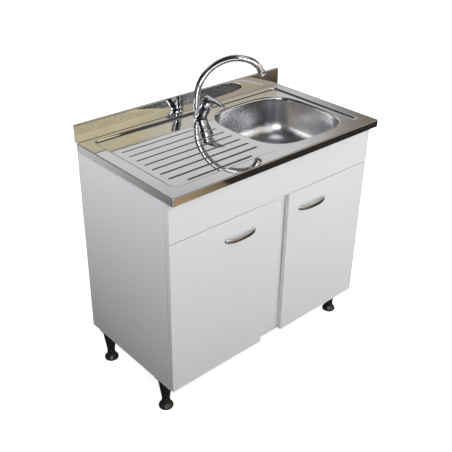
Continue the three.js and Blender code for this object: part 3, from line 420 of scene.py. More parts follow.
def group(name, inputs, outputs):
    """A shader node group with its named inputs and outputs."""
    tree = bpy.data.node_groups.new(name, "ShaderNodeTree")
    for label, kind, value in inputs:
        socket = tree.interface.new_socket(name=label, in_out="INPUT", socket_type=kind)
        if value is not None:
            socket.default_value = value
    for label, kind in outputs:
        tree.interface.new_socket(name=label, in_out="OUTPUT", socket_type=kind)
    return tree


def feed(tree, node, **values):
    """Links or sets a node's inputs, called by their names or as i0, i1 and so on."""
    for key, value in values.items():
        numbered = key[0] == "i" and key[1:].isdigit()
        socket = node.inputs[int(key[1:]) if numbered else key.replace("_", " ")]
        if isinstance(value, bpy.types.NodeSocket):
            tree.links.new(value, socket)
        else:
            socket.default_value = value


def add(tree, kind, settings=(), **values):
    """A new node with its settings and inputs."""
    node = tree.nodes.new(kind)
    for key, value in dict(settings).items():
        setattr(node, key, value)
    feed(tree, node, **values)
    return node


def ranged(tree, value, start, end, low=0, high=1, curve="LINEAR"):
    """`value` brought from the range start..end to low..high."""
    settings = {"interpolation_type": curve}
    return add(tree, "ShaderNodeMapRange", settings, i0=value, i1=start, i2=end, i3=low, i4=high).outputs[0]


def product(tree, first, second):
    """Two values multiplied."""
    return add(tree, "ShaderNodeMath", {"operation": "MULTIPLY"}, i0=first, i1=second).outputs[0]


def between(tree, share, first, second):
    """A colour between two: the first at share 0, the second at 1."""
    first, second = (c if isinstance(c, bpy.types.NodeSocket) else (*c, 1) for c in (first, second))
    return add(tree, "ShaderNodeMix", {"data_type": "RGBA"}, i0=share, i6=first, i7=second).outputs[2]


def vectors(tree, operation, label="", **values):
    """The outputs of a vector operation."""
    return add(tree, "ShaderNodeVectorMath", {"operation": operation, "label": label}, **values).outputs


def effect(tree, made, place, **values):
    """The outputs of a shared effect placed in a material."""
    return add(tree, "ShaderNodeGroup", {"node_tree": made}, Position=place, **values).outputs


def noise(tree, place, **values):
    """The grey value of a noise."""
    return add(tree, "ShaderNodeTexNoise", Vector=place, **values).outputs["Fac"]


def grain_group():
    """Fine lines drawn out along X: the polish marks of the steel, and its slow smudges."""
    inputs = (POSITION, ("Fineness", "NodeSocketFloat", 900), ("Drawn Out", "NodeSocketFloat", 0.03))
    tree = group("polish_lines", inputs, [("Lines", "NodeSocketFloat"), ("Smudges", "NodeSocketFloat")])
    source = add(tree, "NodeGroupInput").outputs
    stretch = add(tree, "ShaderNodeCombineXYZ", X=source["Drawn Out"], Y=1, Z=1).outputs[0]
    drawn = vectors(tree, "MULTIPLY", i0=source["Position"], i1=stretch)[0]
    lines = noise(tree, drawn, Scale=source["Fineness"], Detail=3)
    smudges = noise(tree, source["Position"], Scale=9, Detail=5, Roughness=0.62)
    add(tree, "NodeGroupOutput", Lines=lines, Smudges=ranged(tree, smudges, 0.35, 0.75))
    return tree


def wave_group():
    """The slow unevenness of a pressed sheet."""
    inputs = (POSITION, ("Scale", "NodeSocketFloat", 8))
    tree = group("pressed_waves", inputs, [("Height", "NodeSocketFloat")])
    source = add(tree, "NodeGroupInput").outputs
    add(tree, "NodeGroupOutput", Height=noise(tree, source["Position"], Scale=source["Scale"], Detail=1))
    return tree


def pores_group():
    """The orange-peel print of a laminate or a moulding, with a faint tone change."""
    inputs = (POSITION, ("Scale", "NodeSocketFloat", 700))
    tree = group("fine_pores", inputs, [("Height", "NodeSocketFloat"), ("Tone", "NodeSocketFloat")])
    source = add(tree, "NodeGroupInput").outputs
    print_like = {"feature": "SMOOTH_F1"}
    pores = add(tree, "ShaderNodeTexVoronoi", print_like, Vector=source["Position"], Scale=source["Scale"])
    tone = noise(tree, source["Position"], Scale=4, Detail=4, Roughness=0.6)
    add(tree, "NodeGroupOutput", Height=pores.outputs["Distance"], Tone=tone)
    return tree


# The effects that several materials share.
GRAIN, WAVES, PORES = grain_group(), wave_group(), pores_group()


def started(name):
    """A new material: itself, its node tree, its shader and the object's own coordinates."""
    material = bpy.data.materials.new(name)
    material.use_nodes = True
    tree = material.node_tree
    return material, tree, tree.nodes["Principled BSDF"], add(tree, "ShaderNodeTexCoord").outputs["Object"]


def metal(name, light, dark, rough, grain=0.5, wave=0.0, wave_scale=8, fineness=900, drawn=0.03):
    """A polished or brushed metal: tone and roughness follow its polish lines and smudges."""
    material, tree, shader, place = started(name)
    marks = effect(tree, GRAIN, place, Fineness=fineness, Drawn_Out=drawn)
    tone = between(tree, marks["Smudges"], light, dark)
    gloss = ranged(tree, product(tree, marks["Lines"], marks["Smudges"]), 0, 0.6, *rough)
    bump = add(tree, "ShaderNodeBump", Strength=grain, Distance=LINE_DEPTH, Height=marks["Lines"])
    if wave:
        slow = effect(tree, WAVES, place, Scale=wave_scale)["Height"]
        bump = add(tree, "ShaderNodeBump", Strength=1, Distance=wave, Height=slow, Normal=bump.outputs[0])
    feed(tree, shader, Base_Color=tone, Roughness=gloss, Metallic=1, Normal=bump.outputs[0])
    return material


def moulded(name, light, dark, rough, scale=700, depth=0.00002, coat=0.0):
    """A laminate, plastic or rubber: two near tones and a fine print."""
    material, tree, shader, place = started(name)
    pores = effect(tree, PORES, place, Scale=scale)
    tone = between(tree, pores["Tone"], light, dark)
    gloss = ranged(tree, pores["Tone"], 0.3, 0.7, *rough)
    bump = add(tree, "ShaderNodeBump", Strength=1, Distance=depth, Height=pores["Height"]).outputs[0]
    feed(tree, shader, Base_Color=tone, Roughness=gloss, Normal=bump)
    if coat:
        feed(tree, shader, Coat_Weight=coat, Coat_Roughness=COAT_ROUGHNESS)
    return material


# ------------------------------------------------------------------ finishes
# Light tone, dark tone and range of roughness, then what differs from the plain finish.
DECK_STEEL = metal(
    "deck_steel",
    (0.73, 0.725, 0.715),
    (0.69, 0.685, 0.675),
    (0.025, 0.07),
    grain=0.2,
    wave=0.0004,
    wave_scale=5,
)
BOWL_STEEL = metal("bowl_steel", (0.74, 0.74, 0.76), (0.71, 0.71, 0.73), (0.25, 0.29), grain=0.04)
CHROME = metal("chrome", (0.80, 0.80, 0.83), (0.76, 0.76, 0.79), (0.03, 0.07), grain=0.05)
SATIN = metal("satin_metal", (0.72, 0.72, 0.72), (0.65, 0.65, 0.65), (0.20, 0.30), grain=0.6, fineness=1400)
ZINC = metal(
    "zinc", (0.58, 0.59, 0.62), (0.48, 0.49, 0.52), (0.28, 0.42), grain=0.6, fineness=600, drawn=0.4
)
BRASS = metal("brass", (0.72, 0.55, 0.26), (0.62, 0.46, 0.21), (0.25, 0.4), grain=0.6)
BOARD = moulded(
    "white_board", (0.80, 0.805, 0.825), (0.765, 0.77, 0.79), (0.36, 0.48), scale=900, depth=0.00003
)
WHITE_PLASTIC = moulded("white_plastic", (0.83, 0.83, 0.81), (0.78, 0.78, 0.76), (0.3, 0.45), scale=500)
BLACK_PLASTIC = moulded(
    "black_plastic", (0.020, 0.020, 0.018), (0.032, 0.032, 0.028), (0.16, 0.3), scale=500, coat=0.3
)
RUBBER = moulded("rubber", (0.02, 0.02, 0.02), (0.035, 0.035, 0.035), (0.6, 0.8), scale=900)


# ------------------------------------------------------------------ camera, light and studio
# The solved camera: its turn and, in the last column, its place in metres.
CAMERA_PLACE = (
    (0.744353, 0.320752, -0.585710, -1.485002),
    (-0.667583, 0.379059, -0.640817, -1.598002),
    (0.016475, 0.868005, 0.496283, 1.766424),
    (0, 0, 0, 1),
)


def camera():
    """The camera solved from the photo: lens, shift and place."""
    data = bpy.data.cameras.new("camera")
    data.lens = 56.729
    data.shift_y = -0.0196
    data.sensor_width = 36
    data.clip_end = 50
    made = linked("camera", data)
    made.matrix_world = Matrix(CAMERA_PLACE)
    bpy.context.scene.camera = made


def area_light(name, place, aim, size, power, colour, mirrored=False):
    """A rectangular lamp; metal mirrors it only where `mirrored` says so."""
    data = bpy.data.lights.new(name, "AREA")
    data.shape = "RECTANGLE"
    data.size, data.size_y = size
    data.energy = power
    data.color = colour
    made = linked(name, data)
    made.location = place
    made.rotation_euler = (Vector(aim) - Vector(place)).to_track_quat("-Z", "Y").to_euler()
    made.visible_glossy = mirrored
    made.visible_camera = False


def heading(azimuth, elevation):
    """The direction at an azimuth from +X and an elevation, in degrees."""
    a, e = math.radians(azimuth), math.radians(elevation)
    return (math.cos(a) * math.cos(e), math.sin(a) * math.cos(e), math.sin(e))


# What metal sees all round: brightness by the sine of the elevation, and its tint.
SKY_STOPS = (
    (0.0, 0.03), (0.2, 0.04), (0.29, 0.45), (0.36, 0.76), (0.44, 0.75), (0.50, 0.50), (0.62, 0.08),
    (1.0, 0.06)
)
SKY_TINT = (0.985, 0.995, 1.02)
# What it sees over that: direction (azimuth from +X and elevation, degrees), full and outer
# half-angle, colour.
CARDS = (
    ("left_dark", 170, 20, 28, 38, (0.02, 0.02, 0.025)),
    ("front_white", 258, 28, 20, 30, (1.0, 1.0, 1.03)),
    ("front_beige", 297, 20, 18, 24, (0.86, 0.77, 0.53)),
    ("front_tan", 321, 17, 13, 19, (0.64, 0.56, 0.45)),
    ("front_pale", 320, 31, 6, 11, (0.90, 0.87, 0.78)),
    ("front_dark", 342, 12, 6, 14, (0.14, 0.12, 0.10)),
    ("right_dark", 29, 20, 4, 13, (0.20, 0.17, 0.14)),
    ("back_high", 50, 43, 8, 17, (0.60, 0.60, 0.68)),
    ("ceiling", 230, 86, 9, 18, (1.0, 1.0, 1.06)),
)


def by_ray(tree, output, otherwise, to_metal, to_camera):
    """Ends a tree with one shader for glossy rays, one for camera rays and one for the others."""
    path = add(tree, "ShaderNodeLightPath").outputs
    lit = add(tree, "ShaderNodeMixShader", Fac=path["Is Glossy Ray"], i1=otherwise, i2=to_metal).outputs[0]
    seen = add(tree, "ShaderNodeMixShader", Fac=path["Is Camera Ray"], i1=lit, i2=to_camera).outputs[0]
    add(tree, output, Surface=seen)


def glowing(tree, kind, colour, strength=1):
    """The output of a background or emission shader."""
    return add(tree, kind, Color=colour, Strength=strength).outputs[0]


def studio_world():
    """White to the camera, dim to the object, and a band of light with cards in it to metal."""
    world = bpy.data.worlds.new("studio")
    bpy.context.scene.world = world
    world.use_nodes = True
    tree = world.node_tree
    tree.nodes.clear()
    way = add(tree, "ShaderNodeTexCoord").outputs["Generated"]
    height = add(tree, "ShaderNodeSeparateXYZ", i0=way).outputs[2]
    ramp = add(tree, "ShaderNodeValToRGB", Fac=height)
    elements = ramp.color_ramp.elements
    while len(elements) < len(SKY_STOPS):
        elements.new(0.5)
    for element, (at, value) in zip(elements, SKY_STOPS):
        element.position = at
        element.color = (*(value * share for share in SKY_TINT), 1)
    colour = ramp.outputs[0]
    for name, azimuth, elevation, full, outer, tint in CARDS:
        near = vectors(tree, "DOT_PRODUCT", name, i0=way, i1=heading(azimuth, elevation))["Value"]
        full, outer = math.cos(math.radians(full)), math.cos(math.radians(outer))
        colour = between(tree, ranged(tree, near, outer, full, curve="SMOOTHSTEP"), colour, tint)
    soft = glowing(tree, "ShaderNodeBackground", (0.80, 0.82, 0.86, 1), 0.05)
    mirrored = glowing(tree, "ShaderNodeBackground", colour)
    white = glowing(tree, "ShaderNodeBackground", (1, 1, 1, 1))
    by_ray(tree, "ShaderNodeOutputWorld", soft, mirrored, white)


def studio_floor():
    """White to the camera with the object's shadow, and patches of light and dark to metal."""
    bpy.ops.mesh.primitive_plane_add(size=24, location=(0, 0, 0))
    floor = bpy.context.object
    floor.name = "floor"
    material = bpy.data.materials.new("studio_floor")
    material.use_nodes = True
    tree = material.node_tree
    tree.nodes.clear()
    place = add(tree, "ShaderNodeTexCoord").outputs["Object"]
    x, y, _ = add(tree, "ShaderNodeSeparateXYZ", i0=place).outputs
    away = vectors(tree, "LENGTH", i0=place)["Value"]
    shade = add(tree, "ShaderNodeBsdfDiffuse", Color=(0.80, 0.80, 0.80, 1)).outputs[0]
    glow = glowing(tree, "ShaderNodeEmission", (1, 1, 1, 1), ranged(tree, away, 0.8, 3.0, 0.72, 1.0))
    pale = add(tree, "ShaderNodeAddShader", i0=shade, i1=glow).outputs[0]
    bounce = add(tree, "ShaderNodeBsdfDiffuse", Color=(0.09, 0.085, 0.055, 1)).outputs[0]

    def soft(value, *ends):
        return ranged(tree, value, *ends, curve="SMOOTHSTEP")

    # Metal sees a floor that is lavender at the back left, tan at the front, brown far off, pale in
    # a patch near the front left, and dark elsewhere.
    at_back_left = product(tree, soft(x, -0.6, -1.0), soft(y, 0.5, 2.0, 0.08, 1.0))
    at_front = product(tree, soft(x, 0.87, 0.835), soft(x, 1.0, 0.45, 0.3, 1.0))
    at_front = product(tree, at_front, soft(y, -1.15, -1.25))
    from_patch = vectors(tree, "DISTANCE", i0=place, i1=(-1.5, -1.2, 0))["Value"]
    colour = (0.035, 0.03, 0.027)
    for share, tint in (
        (at_back_left, (0.64, 0.64, 0.66)),
        (at_front, (0.46, 0.34, 0.21)),
        (soft(away, 2.4, 4.2), (0.19, 0.15, 0.115)),
        (soft(from_patch, 1.1, 0.7), (0.42, 0.42, 0.44)),
    ):
        colour = between(tree, share, colour, tint)
    by_ray(tree, "ShaderNodeOutputMaterial", bounce, glowing(tree, "ShaderNodeEmission", colour), pale)
    floor.data.materials.append(material)


# Name, place, aim, width and height, power and colour of each lamp, and True where metal mirrors it.
LAMPS = (
    ("front_floor", (1.6, -2.1, 0.02), (1.6, -2.1, 2), (2.0, 1.2), 14, (0.97, 1, 1.05)),
    ("left_floor", (-2.5, 1.5, 0.02), (-2.5, 1.5, 2), (0.8, 0.8), 78, (1.0, 1, 0.93)),
    ("front", (0.0, -1.8, 1.8), (0.1, -0.2, 0.7), (1.6, 1.0), 20, (1.0, 1, 1.0)),
    ("front_far", (-1.0, -4.2, 1.5), (0, 0, 0.6), (2.4, 1.6), 30, (1.0, 1, 1.0)),
    ("right_low", (1.1, -1.5, 0.2), (0.2, -0.2, 0.2), (0.6, 0.4), 7, (1.0, 0.985, 0.97)),
    ("by_camera", (-1.8, -1.7, 1.9), (0, 0, 0.8), (1.3, 1.3), 16, (1, 1, 1), True),
    ("left_high", (-1.2, 0.1, 2.0), (-0.4, 0, 0.8), (0.8, 0.8), 12, (0.95, 1, 1.08)),
    ("right", (2.6, -0.2, 1.4), (0, 0, 0.5), (1.2, 1.2), 42, (1, 1, 1)),
    ("back", (0.6, 2.7, 1.4), (0, 0, 0.5), (1.2, 1.2), 42, (1, 1, 1)),
)

camera()
studio_world()
studio_floor()
for lamp in LAMPS:
    area_light(*lamp)
bpy.context.scene.view_settings.view_transform = "Standard"


# ------------------------------------------------------------------ sink top
def rounded_rectangle(x0, x1, y0, y1, radius, arc=10, side=3):
    """Points and outward headings round a rectangle, anticlockwise from its front right corner."""
    points, out = [], []
    left, right, front, back = x0 + radius, x1 - radius, y0 + radius, y1 - radius
    middles = ((right, front, -90), (right, back, 0), (left, back, 90), (left, front, 180))
    for n, (cx, cy, start) in enumerate(middles):
        for k in range(arc + 1):
            angle = math.radians(start + 90 * k / arc)
            points.append((cx + radius * math.cos(angle), cy + radius * math.sin(angle)))
            out.append((math.cos(angle), math.sin(angle)))
        nx, ny, _ = middles[(n + 1) % 4]
        angle = math.radians(start + 90)
        a = Vector(points[-1])
        b = Vector((nx + radius * math.cos(angle), ny + radius * math.sin(angle)))
        for k in range(1, side):
            points.append(tuple(a.lerp(b, k / side)))
            out.append((math.cos(angle), math.sin(angle)))
    return points, out


def stadium(y, x0, x1, reach, arc=8, side=6):
    """Points and outward headings at a distance `reach` round a groove's middle line."""
    points, out = [], []
    for cx, start in ((x1, -90), (x0, 90)):
        for k in range(arc + 1):
            angle = math.radians(start + 180 * k / arc)
            points.append((cx + reach * math.cos(angle), y + reach * math.sin(angle)))
            out.append((math.cos(angle), math.sin(angle)))
        angle = math.radians(start + 180)
        other = x0 if cx == x1 else x1
        for k in range(1, side):
            x = cx + (other - cx) * k / side
            points.append((x + reach * math.cos(angle), y + reach * math.sin(angle)))
            out.append((math.cos(angle), math.sin(angle)))
    return points, out


def bowl_ring(half_x, half_y, power, count=128):
    """Points and outward headings of a superellipse about the bowl's middle."""
    points, out = [], []
    for k in range(count):
        angle = TAU * k / count
        c, s = math.cos(angle), math.sin(angle)
        reach = ((abs(c) / half_x) ** power + (abs(s) / half_y) ** power) ** (-1 / power)
        px, py = reach * c, reach * s
        gx = math.copysign((abs(px) / half_x) ** (power - 1) / half_x, px)
        gy = math.copysign((abs(py) / half_y) ** (power - 1) / half_y, py)
        size = math.hypot(gx, gy)
        points.append((BOWL_X + px, BOWL_Y + py))
        out.append((gx / size, gy / size))
    return points, out


def ring_row(skin, ring, z, rise):
    """A row at height z; `rise` is the lean of its normals: out component and up component."""
    points, out = ring
    normals = [(ox * rise[0], oy * rise[0], rise[1]) for ox, oy in out]
    return skin.row([(x, y, z) for x, y in points], normals)


def eased(low, high, x):
    """0 below `low`, 1 above `high`, with a soft start and end."""
    t = min(1, max(0, (x - low) / (high - low)))
    return t * t * (3 - 2 * t)


def bowl_row(skin, inset, power, z, rise):
    """A row round the bowl, `inset` from the outline of its lip."""
    return ring_row(skin, bowl_ring(BOWL_HALF_X - inset, BOWL_HALF_Y - inset, power), z, rise)


def rim_outline(inset):
    """Left, front and right outline of the rim, from the upstand round to the upstand."""
    x, y, least_corner, steps = TOP_HALF_X - inset, TOP_HALF_Y - inset, 0.4, 8
    r = max(SKIRT_CORNER - inset, least_corner)
    sides = (UPSTAND_Y + 0.9, 80, -80)
    points, out = [(-x, side) for side in sides], [(-1, 0)] * 3
    for cx, start in ((-x + r, 180), (x - r, 270)):
        for k in range(steps + 1):
            angle = math.radians(start + 90 * k / steps)
            points.append((cx + r * math.cos(angle), -y + r + r * math.sin(angle)))
            out.append((math.cos(angle), math.sin(angle)))
        if start == 180:
            points += [(x * share, -y) for share in (-0.5, 0, 0.5)]
            out += [(0, -1)] * 3
    return points + [(x, side) for side in reversed(sides)], out + [(1, 0)] * 3


def step_width(x, y, out_y):
    """Width of the step into the recess: narrow before and behind the bowl, wide at the back left.

    Its inner edge bulges a hair, so that no straight run of points leaves a face without area.
    """
    at_back, at_front = eased(0.2, 0.9, out_y), eased(0.2, 0.9, -out_y)
    by_bowl = at_front * eased(*BY_BOWL[:2], x) * (1 - eased(*BY_BOWL[2:], x))
    start, full, wane, end, wide = BACK_FAN
    fan = wide * eased(start, full, x) * (1 - eased(wane, end, x))
    width = STEP_WIDTH + (NARROW_STEP + fan - STEP_WIDTH) * at_back + (FRONT_STEP - STEP_WIDTH) * by_bowl
    half_x, half_y = 410, 218
    along = (x / half_x) ** 2 * abs(out_y) + (y / half_y) ** 2 * (1 - abs(out_y))
    return width * (1 - STEP_BULGE * (1 - along))


def skirt_and_rim(skin):
    """Skirt and rounded edge; returns the row along the flat rim."""
    outline = rim_outline(0)
    rows = [ring_row(skin, outline, z, (1, 0)) for z in (SKIRT_Z, TOP_Z - EDGE_ROUND)]
    for k in range(1, 7):
        angle = math.radians(90 * k / 6)
        inset = EDGE_ROUND * (1 - math.cos(angle))
        z = TOP_Z - EDGE_ROUND + EDGE_ROUND * math.sin(angle)
        rows.append(ring_row(skin, rim_outline(inset), z, (math.cos(angle), math.sin(angle))))
    skin.bands(rows, closed=False)
    return rows[-1]


def upstand_bend(skin):
    """Bend from the rim up to the upstand; returns the row at its foot."""
    x, rows = TOP_HALF_X - EDGE_ROUND, []
    for k in range(7):
        angle = math.radians(90 * k / 6)
        y = UPSTAND_Y - UPSTAND_BEND + UPSTAND_BEND * math.sin(angle)
        z = TOP_Z + UPSTAND_BEND * (1 - math.cos(angle))
        across = [(x * share, y + 0.02, z) for share in (1, 0.5, 0, -0.5, -1)]
        rows.append(skin.row(across, [(0, -math.sin(angle), math.cos(angle))] * 5))
    skin.bands(rows, closed=False)
    return rows[0]


def recess_step(skin):
    """The step that slopes from the rim to the recess's floor; returns its first and last row."""
    x0, x1, y0, y1, corner = RECESS
    steps, drop, early = 8, TOP_Z - RECESS_Z, 0.8
    box = (x0 - early, x1 + early, y0 - early, y1 + early, corner + early)
    outline, headings = rounded_rectangle(*box, side=24)
    widths = [step_width(x, y, oy) for (x, y), (_, oy) in zip(outline, headings)]
    rows = []
    for k in range(steps + 1):
        t = k / steps
        z = TOP_Z - drop * (t - math.sin(TAU * t) / TAU)
        steep = drop * (1 - math.cos(TAU * t))
        points, normals = [], []
        for (x, y), (ox, oy), w in zip(outline, headings, widths):
            points.append((x - ox * w * t, y - oy * w * t, z))
            normals.append((-ox * steep / w, -oy * steep / w, 1))
        rows.append(skin.row(points, normals))
    skin.bands(rows)
    return rows[0], rows[-1]


def groove(skin, n, y, start, end):
    """The nth drainer groove, a little deeper and wider than the one behind; returns its edge."""
    depth, wide = 1.6 + 0.17 * n, 3.8 + 0.28 * n
    rows = []
    for reach in [wide * k / 6 for k in (6, 5, 4, 3, 2, 1)]:
        share = reach / wide
        z = RECESS_Z - depth * 0.5 * (1 + math.cos(math.pi * share))
        lean = -depth * 0.5 * math.pi / wide * math.sin(math.pi * share)
        rows.append(ring_row(skin, stadium(y, start, end, reach), z, (lean, 1)))
    skin.bands(rows)
    skin.level(rows[-1], [])
    return rows[0]


def bowl_lip(skin):
    """The lip that rolls down into the bowl; returns its outer edge."""
    rows = []
    for k in range(9):
        angle = math.radians(90 * k / 8)
        z = RECESS_Z - BOWL_LIP * (1 - math.cos(angle))
        rise = (-math.sin(angle), math.cos(angle))
        rows.append(bowl_row(skin, BOWL_LIP * math.sin(angle), BOWL_SQUARENESS, z, rise))
    rows.append(bowl_row(skin, BOWL_LIP, BOWL_SQUARENESS, LIP_END, (-1, 0)))
    skin.bands(rows)
    return rows[0]


def sink_top():
    """The pressed sheet with its rim, recess, grooves, tap hole and bowl lip, and the upstand."""
    skin = Skin()
    rim, foot = skirt_and_rim(skin), upstand_bend(skin)
    step_top, step_foot = recess_step(skin)
    skin.level(rim[1:-1] + foot, [step_top])
    holes = [groove(skin, n, *line) for n, line in enumerate(GROOVES)]
    angles = [TAU * k / 32 for k in range(32)]
    ring = [(TAP_X + TAP_HOLE * math.cos(a), TAP_Y + TAP_HOLE * math.sin(a), RECESS_Z) for a in angles]
    holes.append(skin.row(ring, [(0, 0, 1)] * 32))
    holes.append(bowl_lip(skin))
    skin.level(step_foot, holes)
    points, faces, corner = skin.shell(SHEET)
    deck = piece("deck_sheet", points, faces, DECK_STEEL, corner)
    return settle(joined("sink_top", [deck, upstand()]), "cabinet", "sink_deck")


def upstand():
    """The folded upstand: a closed fold whose face leans back, more so toward its top."""
    height, steps, fold, upright_back = UPSTAND_Z - UPSTAND_FOOT, 10, 2.0, 2.5
    low_lean, high_lean = (math.tan(math.radians(a)) for a in UPSTAND_LEANS)
    face = []
    for k in range(steps + 1):
        t = k / steps
        back = height * (low_lean * t + (high_lean - low_lean) * t * t / 2)
        face.append((UPSTAND_Y + back, UPSTAND_FOOT + height * t, fold if k == steps else 0))
    behind = [(TOP_HALF_Y, UPSTAND_Z, fold), (TOP_HALF_Y, UPSTAND_FOOT)]
    profile = rounded_profile([*face, *behind, face[0]])[:-1]
    count = len(profile)
    points = []
    for x, share in UPSTAND_WARP:
        for y, z in profile:
            leans = y < TOP_HALF_Y - upright_back
            points.append((x, UPSTAND_Y + (y - UPSTAND_Y) * share if leans else y, z))
    faces = [tuple(range(count)), tuple(range(len(points) - count, len(points)))]
    for a in range(0, len(points) - count, count):
        b = a + count
        faces += [(a + k, a + (k + 1) % count, b + (k + 1) % count, b + k) for k in range(count)]
    made = piece("upstand", points, faces, DECK_STEEL)
    work = bmesh.new()
    work.from_mesh(made.data)
    bmesh.ops.recalc_face_normals(work, faces=work.faces)
    ends = []
    for edge in work.edges:
        a, b = (v.co.x for v in edge.verts)
        if min(abs(a), abs(b)) > (TOP_HALF_X - 0.1) * MM and abs(b - a) < 1e-6:
            ends.append(edge)
    bmesh.ops.bevel(work, geom=ends, offset=0.6 * MM, segments=2, profile=0.5, affect="EDGES")
    work.to_mesh(made.data)
    work.free()
    return evened(creased(made, 40))


def sink_bowl():
    """The drawn tub: a wall with some draft, a large fillet, the floor and the waste's seat."""
    skin, rows, lap, fall = Skin(), [], 0.3, 4
    depth = LIP_END - BOWL_FLOOR - BOWL_FILLET
    draft = math.atan2(BOWL_DRAFT, depth)
    bend_z = BOWL_FLOOR + BOWL_FILLET
    rows.append(bowl_row(skin, BOWL_LIP - lap, BOWL_SQUARENESS, LIP_END + 1, (-1, 0)))
    for k in range(1, 9):
        t = k / 9
        z = LIP_END + (bend_z - LIP_END) * t
        rise = (-math.cos(draft), math.sin(draft))
        rows.append(bowl_row(skin, BOWL_LIP + BOWL_DRAFT * t, BOWL_SQUARENESS, z, rise))
    for k in range(13):
        angle = draft + (math.pi / 2 - draft) * k / 12
        inset = BOWL_LIP + BOWL_DRAFT + BOWL_FILLET * (1 - math.cos(angle))
        z = bend_z - BOWL_FILLET * math.sin(angle)
        rise = (-math.cos(angle), math.sin(angle))
        rows.append(bowl_row(skin, inset, BOWL_SQUARENESS - FLOOR_LOOSER * k / 12, z, rise))
    inset = BOWL_LIP + BOWL_DRAFT + BOWL_FILLET
    far_x, far_y, near = BOWL_HALF_X - inset, BOWL_HALF_Y - inset, SEAT_RADIUS + 4
    for k in range(1, 13):
        t = k / 12
        half_x, half_y = far_x + (near - far_x) * t, far_y + (near - far_y) * t
        square = BOWL_SQUARENESS - FLOOR_LOOSER
        power = square + (2 - BOWL_SQUARENESS + FLOOR_LOOSER) * min(1, t * 1.2)
        rows.append(ring_row(skin, bowl_ring(half_x, half_y, power), BOWL_FLOOR - fall * t, (-0.04, 1)))
    for radius, z, lean in SEAT_RINGS:
        rows.append(ring_row(skin, bowl_ring(radius, radius, 2), z, (lean, 1)))
    skin.bands(rows)
    points, faces, corner = skin.shell(SHEET)
    made = piece("bowl_tub", points, faces, BOWL_STEEL, corner)
    return settle(made, "cabinet", "sink_bowl")


# ------------------------------------------------------------------ repeated and swept pieces
def node_tree(name, inputs):
    """A Geometry Nodes tree with its named inputs."""
    tree = bpy.data.node_groups.new(name, "GeometryNodeTree")
    for label, kind in (("Geometry", "NodeSocketGeometry"), *inputs):
        tree.interface.new_socket(name=label, in_out="INPUT", socket_type=kind)
    tree.interface.new_socket(name="Geometry", in_out="OUTPUT", socket_type="NodeSocketGeometry")
    return tree


def ended(tree, source, geometry):
    """Ends a tree: its copies made real and given the finish."""
    real = add(tree, "GeometryNodeRealizeInstances", Geometry=geometry)
    finish = add(tree, "GeometryNodeSetMaterial", Geometry=real.outputs[0], Material=source["Finish"])
    add(tree, "NodeGroupOutput", Geometry=finish.outputs[0])
    return tree


def sweep_tree():
    """A round tube along the line given as geometry."""
    inputs = (("Radius", "NodeSocketFloat"), ("Sides", "NodeSocketInt"), ("Finish", "NodeSocketMaterial"))
    tree = node_tree("round_tube", inputs)
    source = add(tree, "NodeGroupInput").outputs
    line = add(tree, "GeometryNodeMeshToCurve", Mesh=source["Geometry"]).outputs[0]
    round_it = "GeometryNodeCurvePrimitiveCircle"
    ring = add(tree, round_it, Resolution=source["Sides"], Radius=source["Radius"])
    tube = add(tree, "GeometryNodeCurveToMesh", Curve=line, Profile_Curve=ring.outputs[0], Fill_Caps=True)
    return ended(tree, source, tube.outputs[0])


def ring_tree():
    """Copies of one piece, evenly spaced round Z and each turned to face outwards."""
    inputs = (
        ("Piece", "NodeSocketObject"),
        ("Count", "NodeSocketInt"),
        ("Radius", "NodeSocketFloat"),
        ("Finish", "NodeSocketMaterial"),
    )
    tree = node_tree("set_in_a_ring", inputs)
    source = add(tree, "NodeGroupInput").outputs
    ring = add(tree, "GeometryNodeMeshCircle", Vertices=source["Count"], Radius=source["Radius"]).outputs[0]
    place = add(tree, "GeometryNodeInputPosition").outputs[0]
    outwards = {"axis": "X", "pivot_axis": "Z"}
    turn = add(tree, "FunctionNodeAlignRotationToVector", outwards, Vector=place).outputs[0]
    single = add(tree, "GeometryNodeObjectInfo", Object=source["Piece"]).outputs["Geometry"]
    copies = add(tree, "GeometryNodeInstanceOnPoints", Points=ring, Instance=single, Rotation=turn)
    return ended(tree, source, copies.outputs[0])


SWEEP, RING = sweep_tree(), ring_tree()


def grown(name, mesh, tree, **inputs):
    """The mesh that a node tree makes from `mesh`, as a new object."""
    made = linked(name, mesh)
    modifier = made.modifiers.new(tree.name, "NODES")
    modifier.node_group = tree
    for item in tree.interface.items_tree:
        key = item.name.replace(" ", "_")
        if item.in_out == "INPUT" and key in inputs:
            modifier[item.identifier] = inputs[key]
    return baked(made)


def in_a_ring(name, single, count, radius, material, place=Matrix()):
    """`count` copies of the object `single` round Z at `radius` mm, then put at `place` (mm)."""
    inputs = {"Piece": single, "Count": count, "Radius": radius * MM, "Finish": material}
    made = placed(grown(name, bpy.data.meshes.new(name), RING, **inputs), place)
    bpy.data.objects.remove(single)
    return made


def rounded_block(name, low, high, material, bevel=1.0, segments=3, place=Matrix()):
    """A block between two corners with its edges rounded; `place` acts in millimetres."""
    work = bmesh.new()
    bmesh.ops.create_cube(work, size=1)
    low, high = Vector(low), Vector(high)
    for v in work.verts:
        share = v.co + Vector((0.5, 0.5, 0.5))
        v.co = Vector([low[k] + (high[k] - low[k]) * share[k] for k in range(3)]) * MM
    edges = list(work.edges)
    bmesh.ops.bevel(work, geom=edges, offset=bevel * MM, segments=segments, profile=0.5, affect="EDGES")
    mesh = bpy.data.meshes.new(name)
    work.to_mesh(mesh)
    work.free()
    mesh.materials.append(material)
    smooth(mesh)
    return placed(evened(linked(name, mesh)), place)


def ribbed(name, parts, low, high, bevel, count, radius, material, place):
    """The parts joined with a ring of `count` ribs at `radius`, each a block from `low` to `high`."""
    rib = rounded_block("rib", low, high, material, bevel, 2)
    return joined(name, [*parts, in_a_ring(name + "_ribs", rib, count, radius, material, place)])


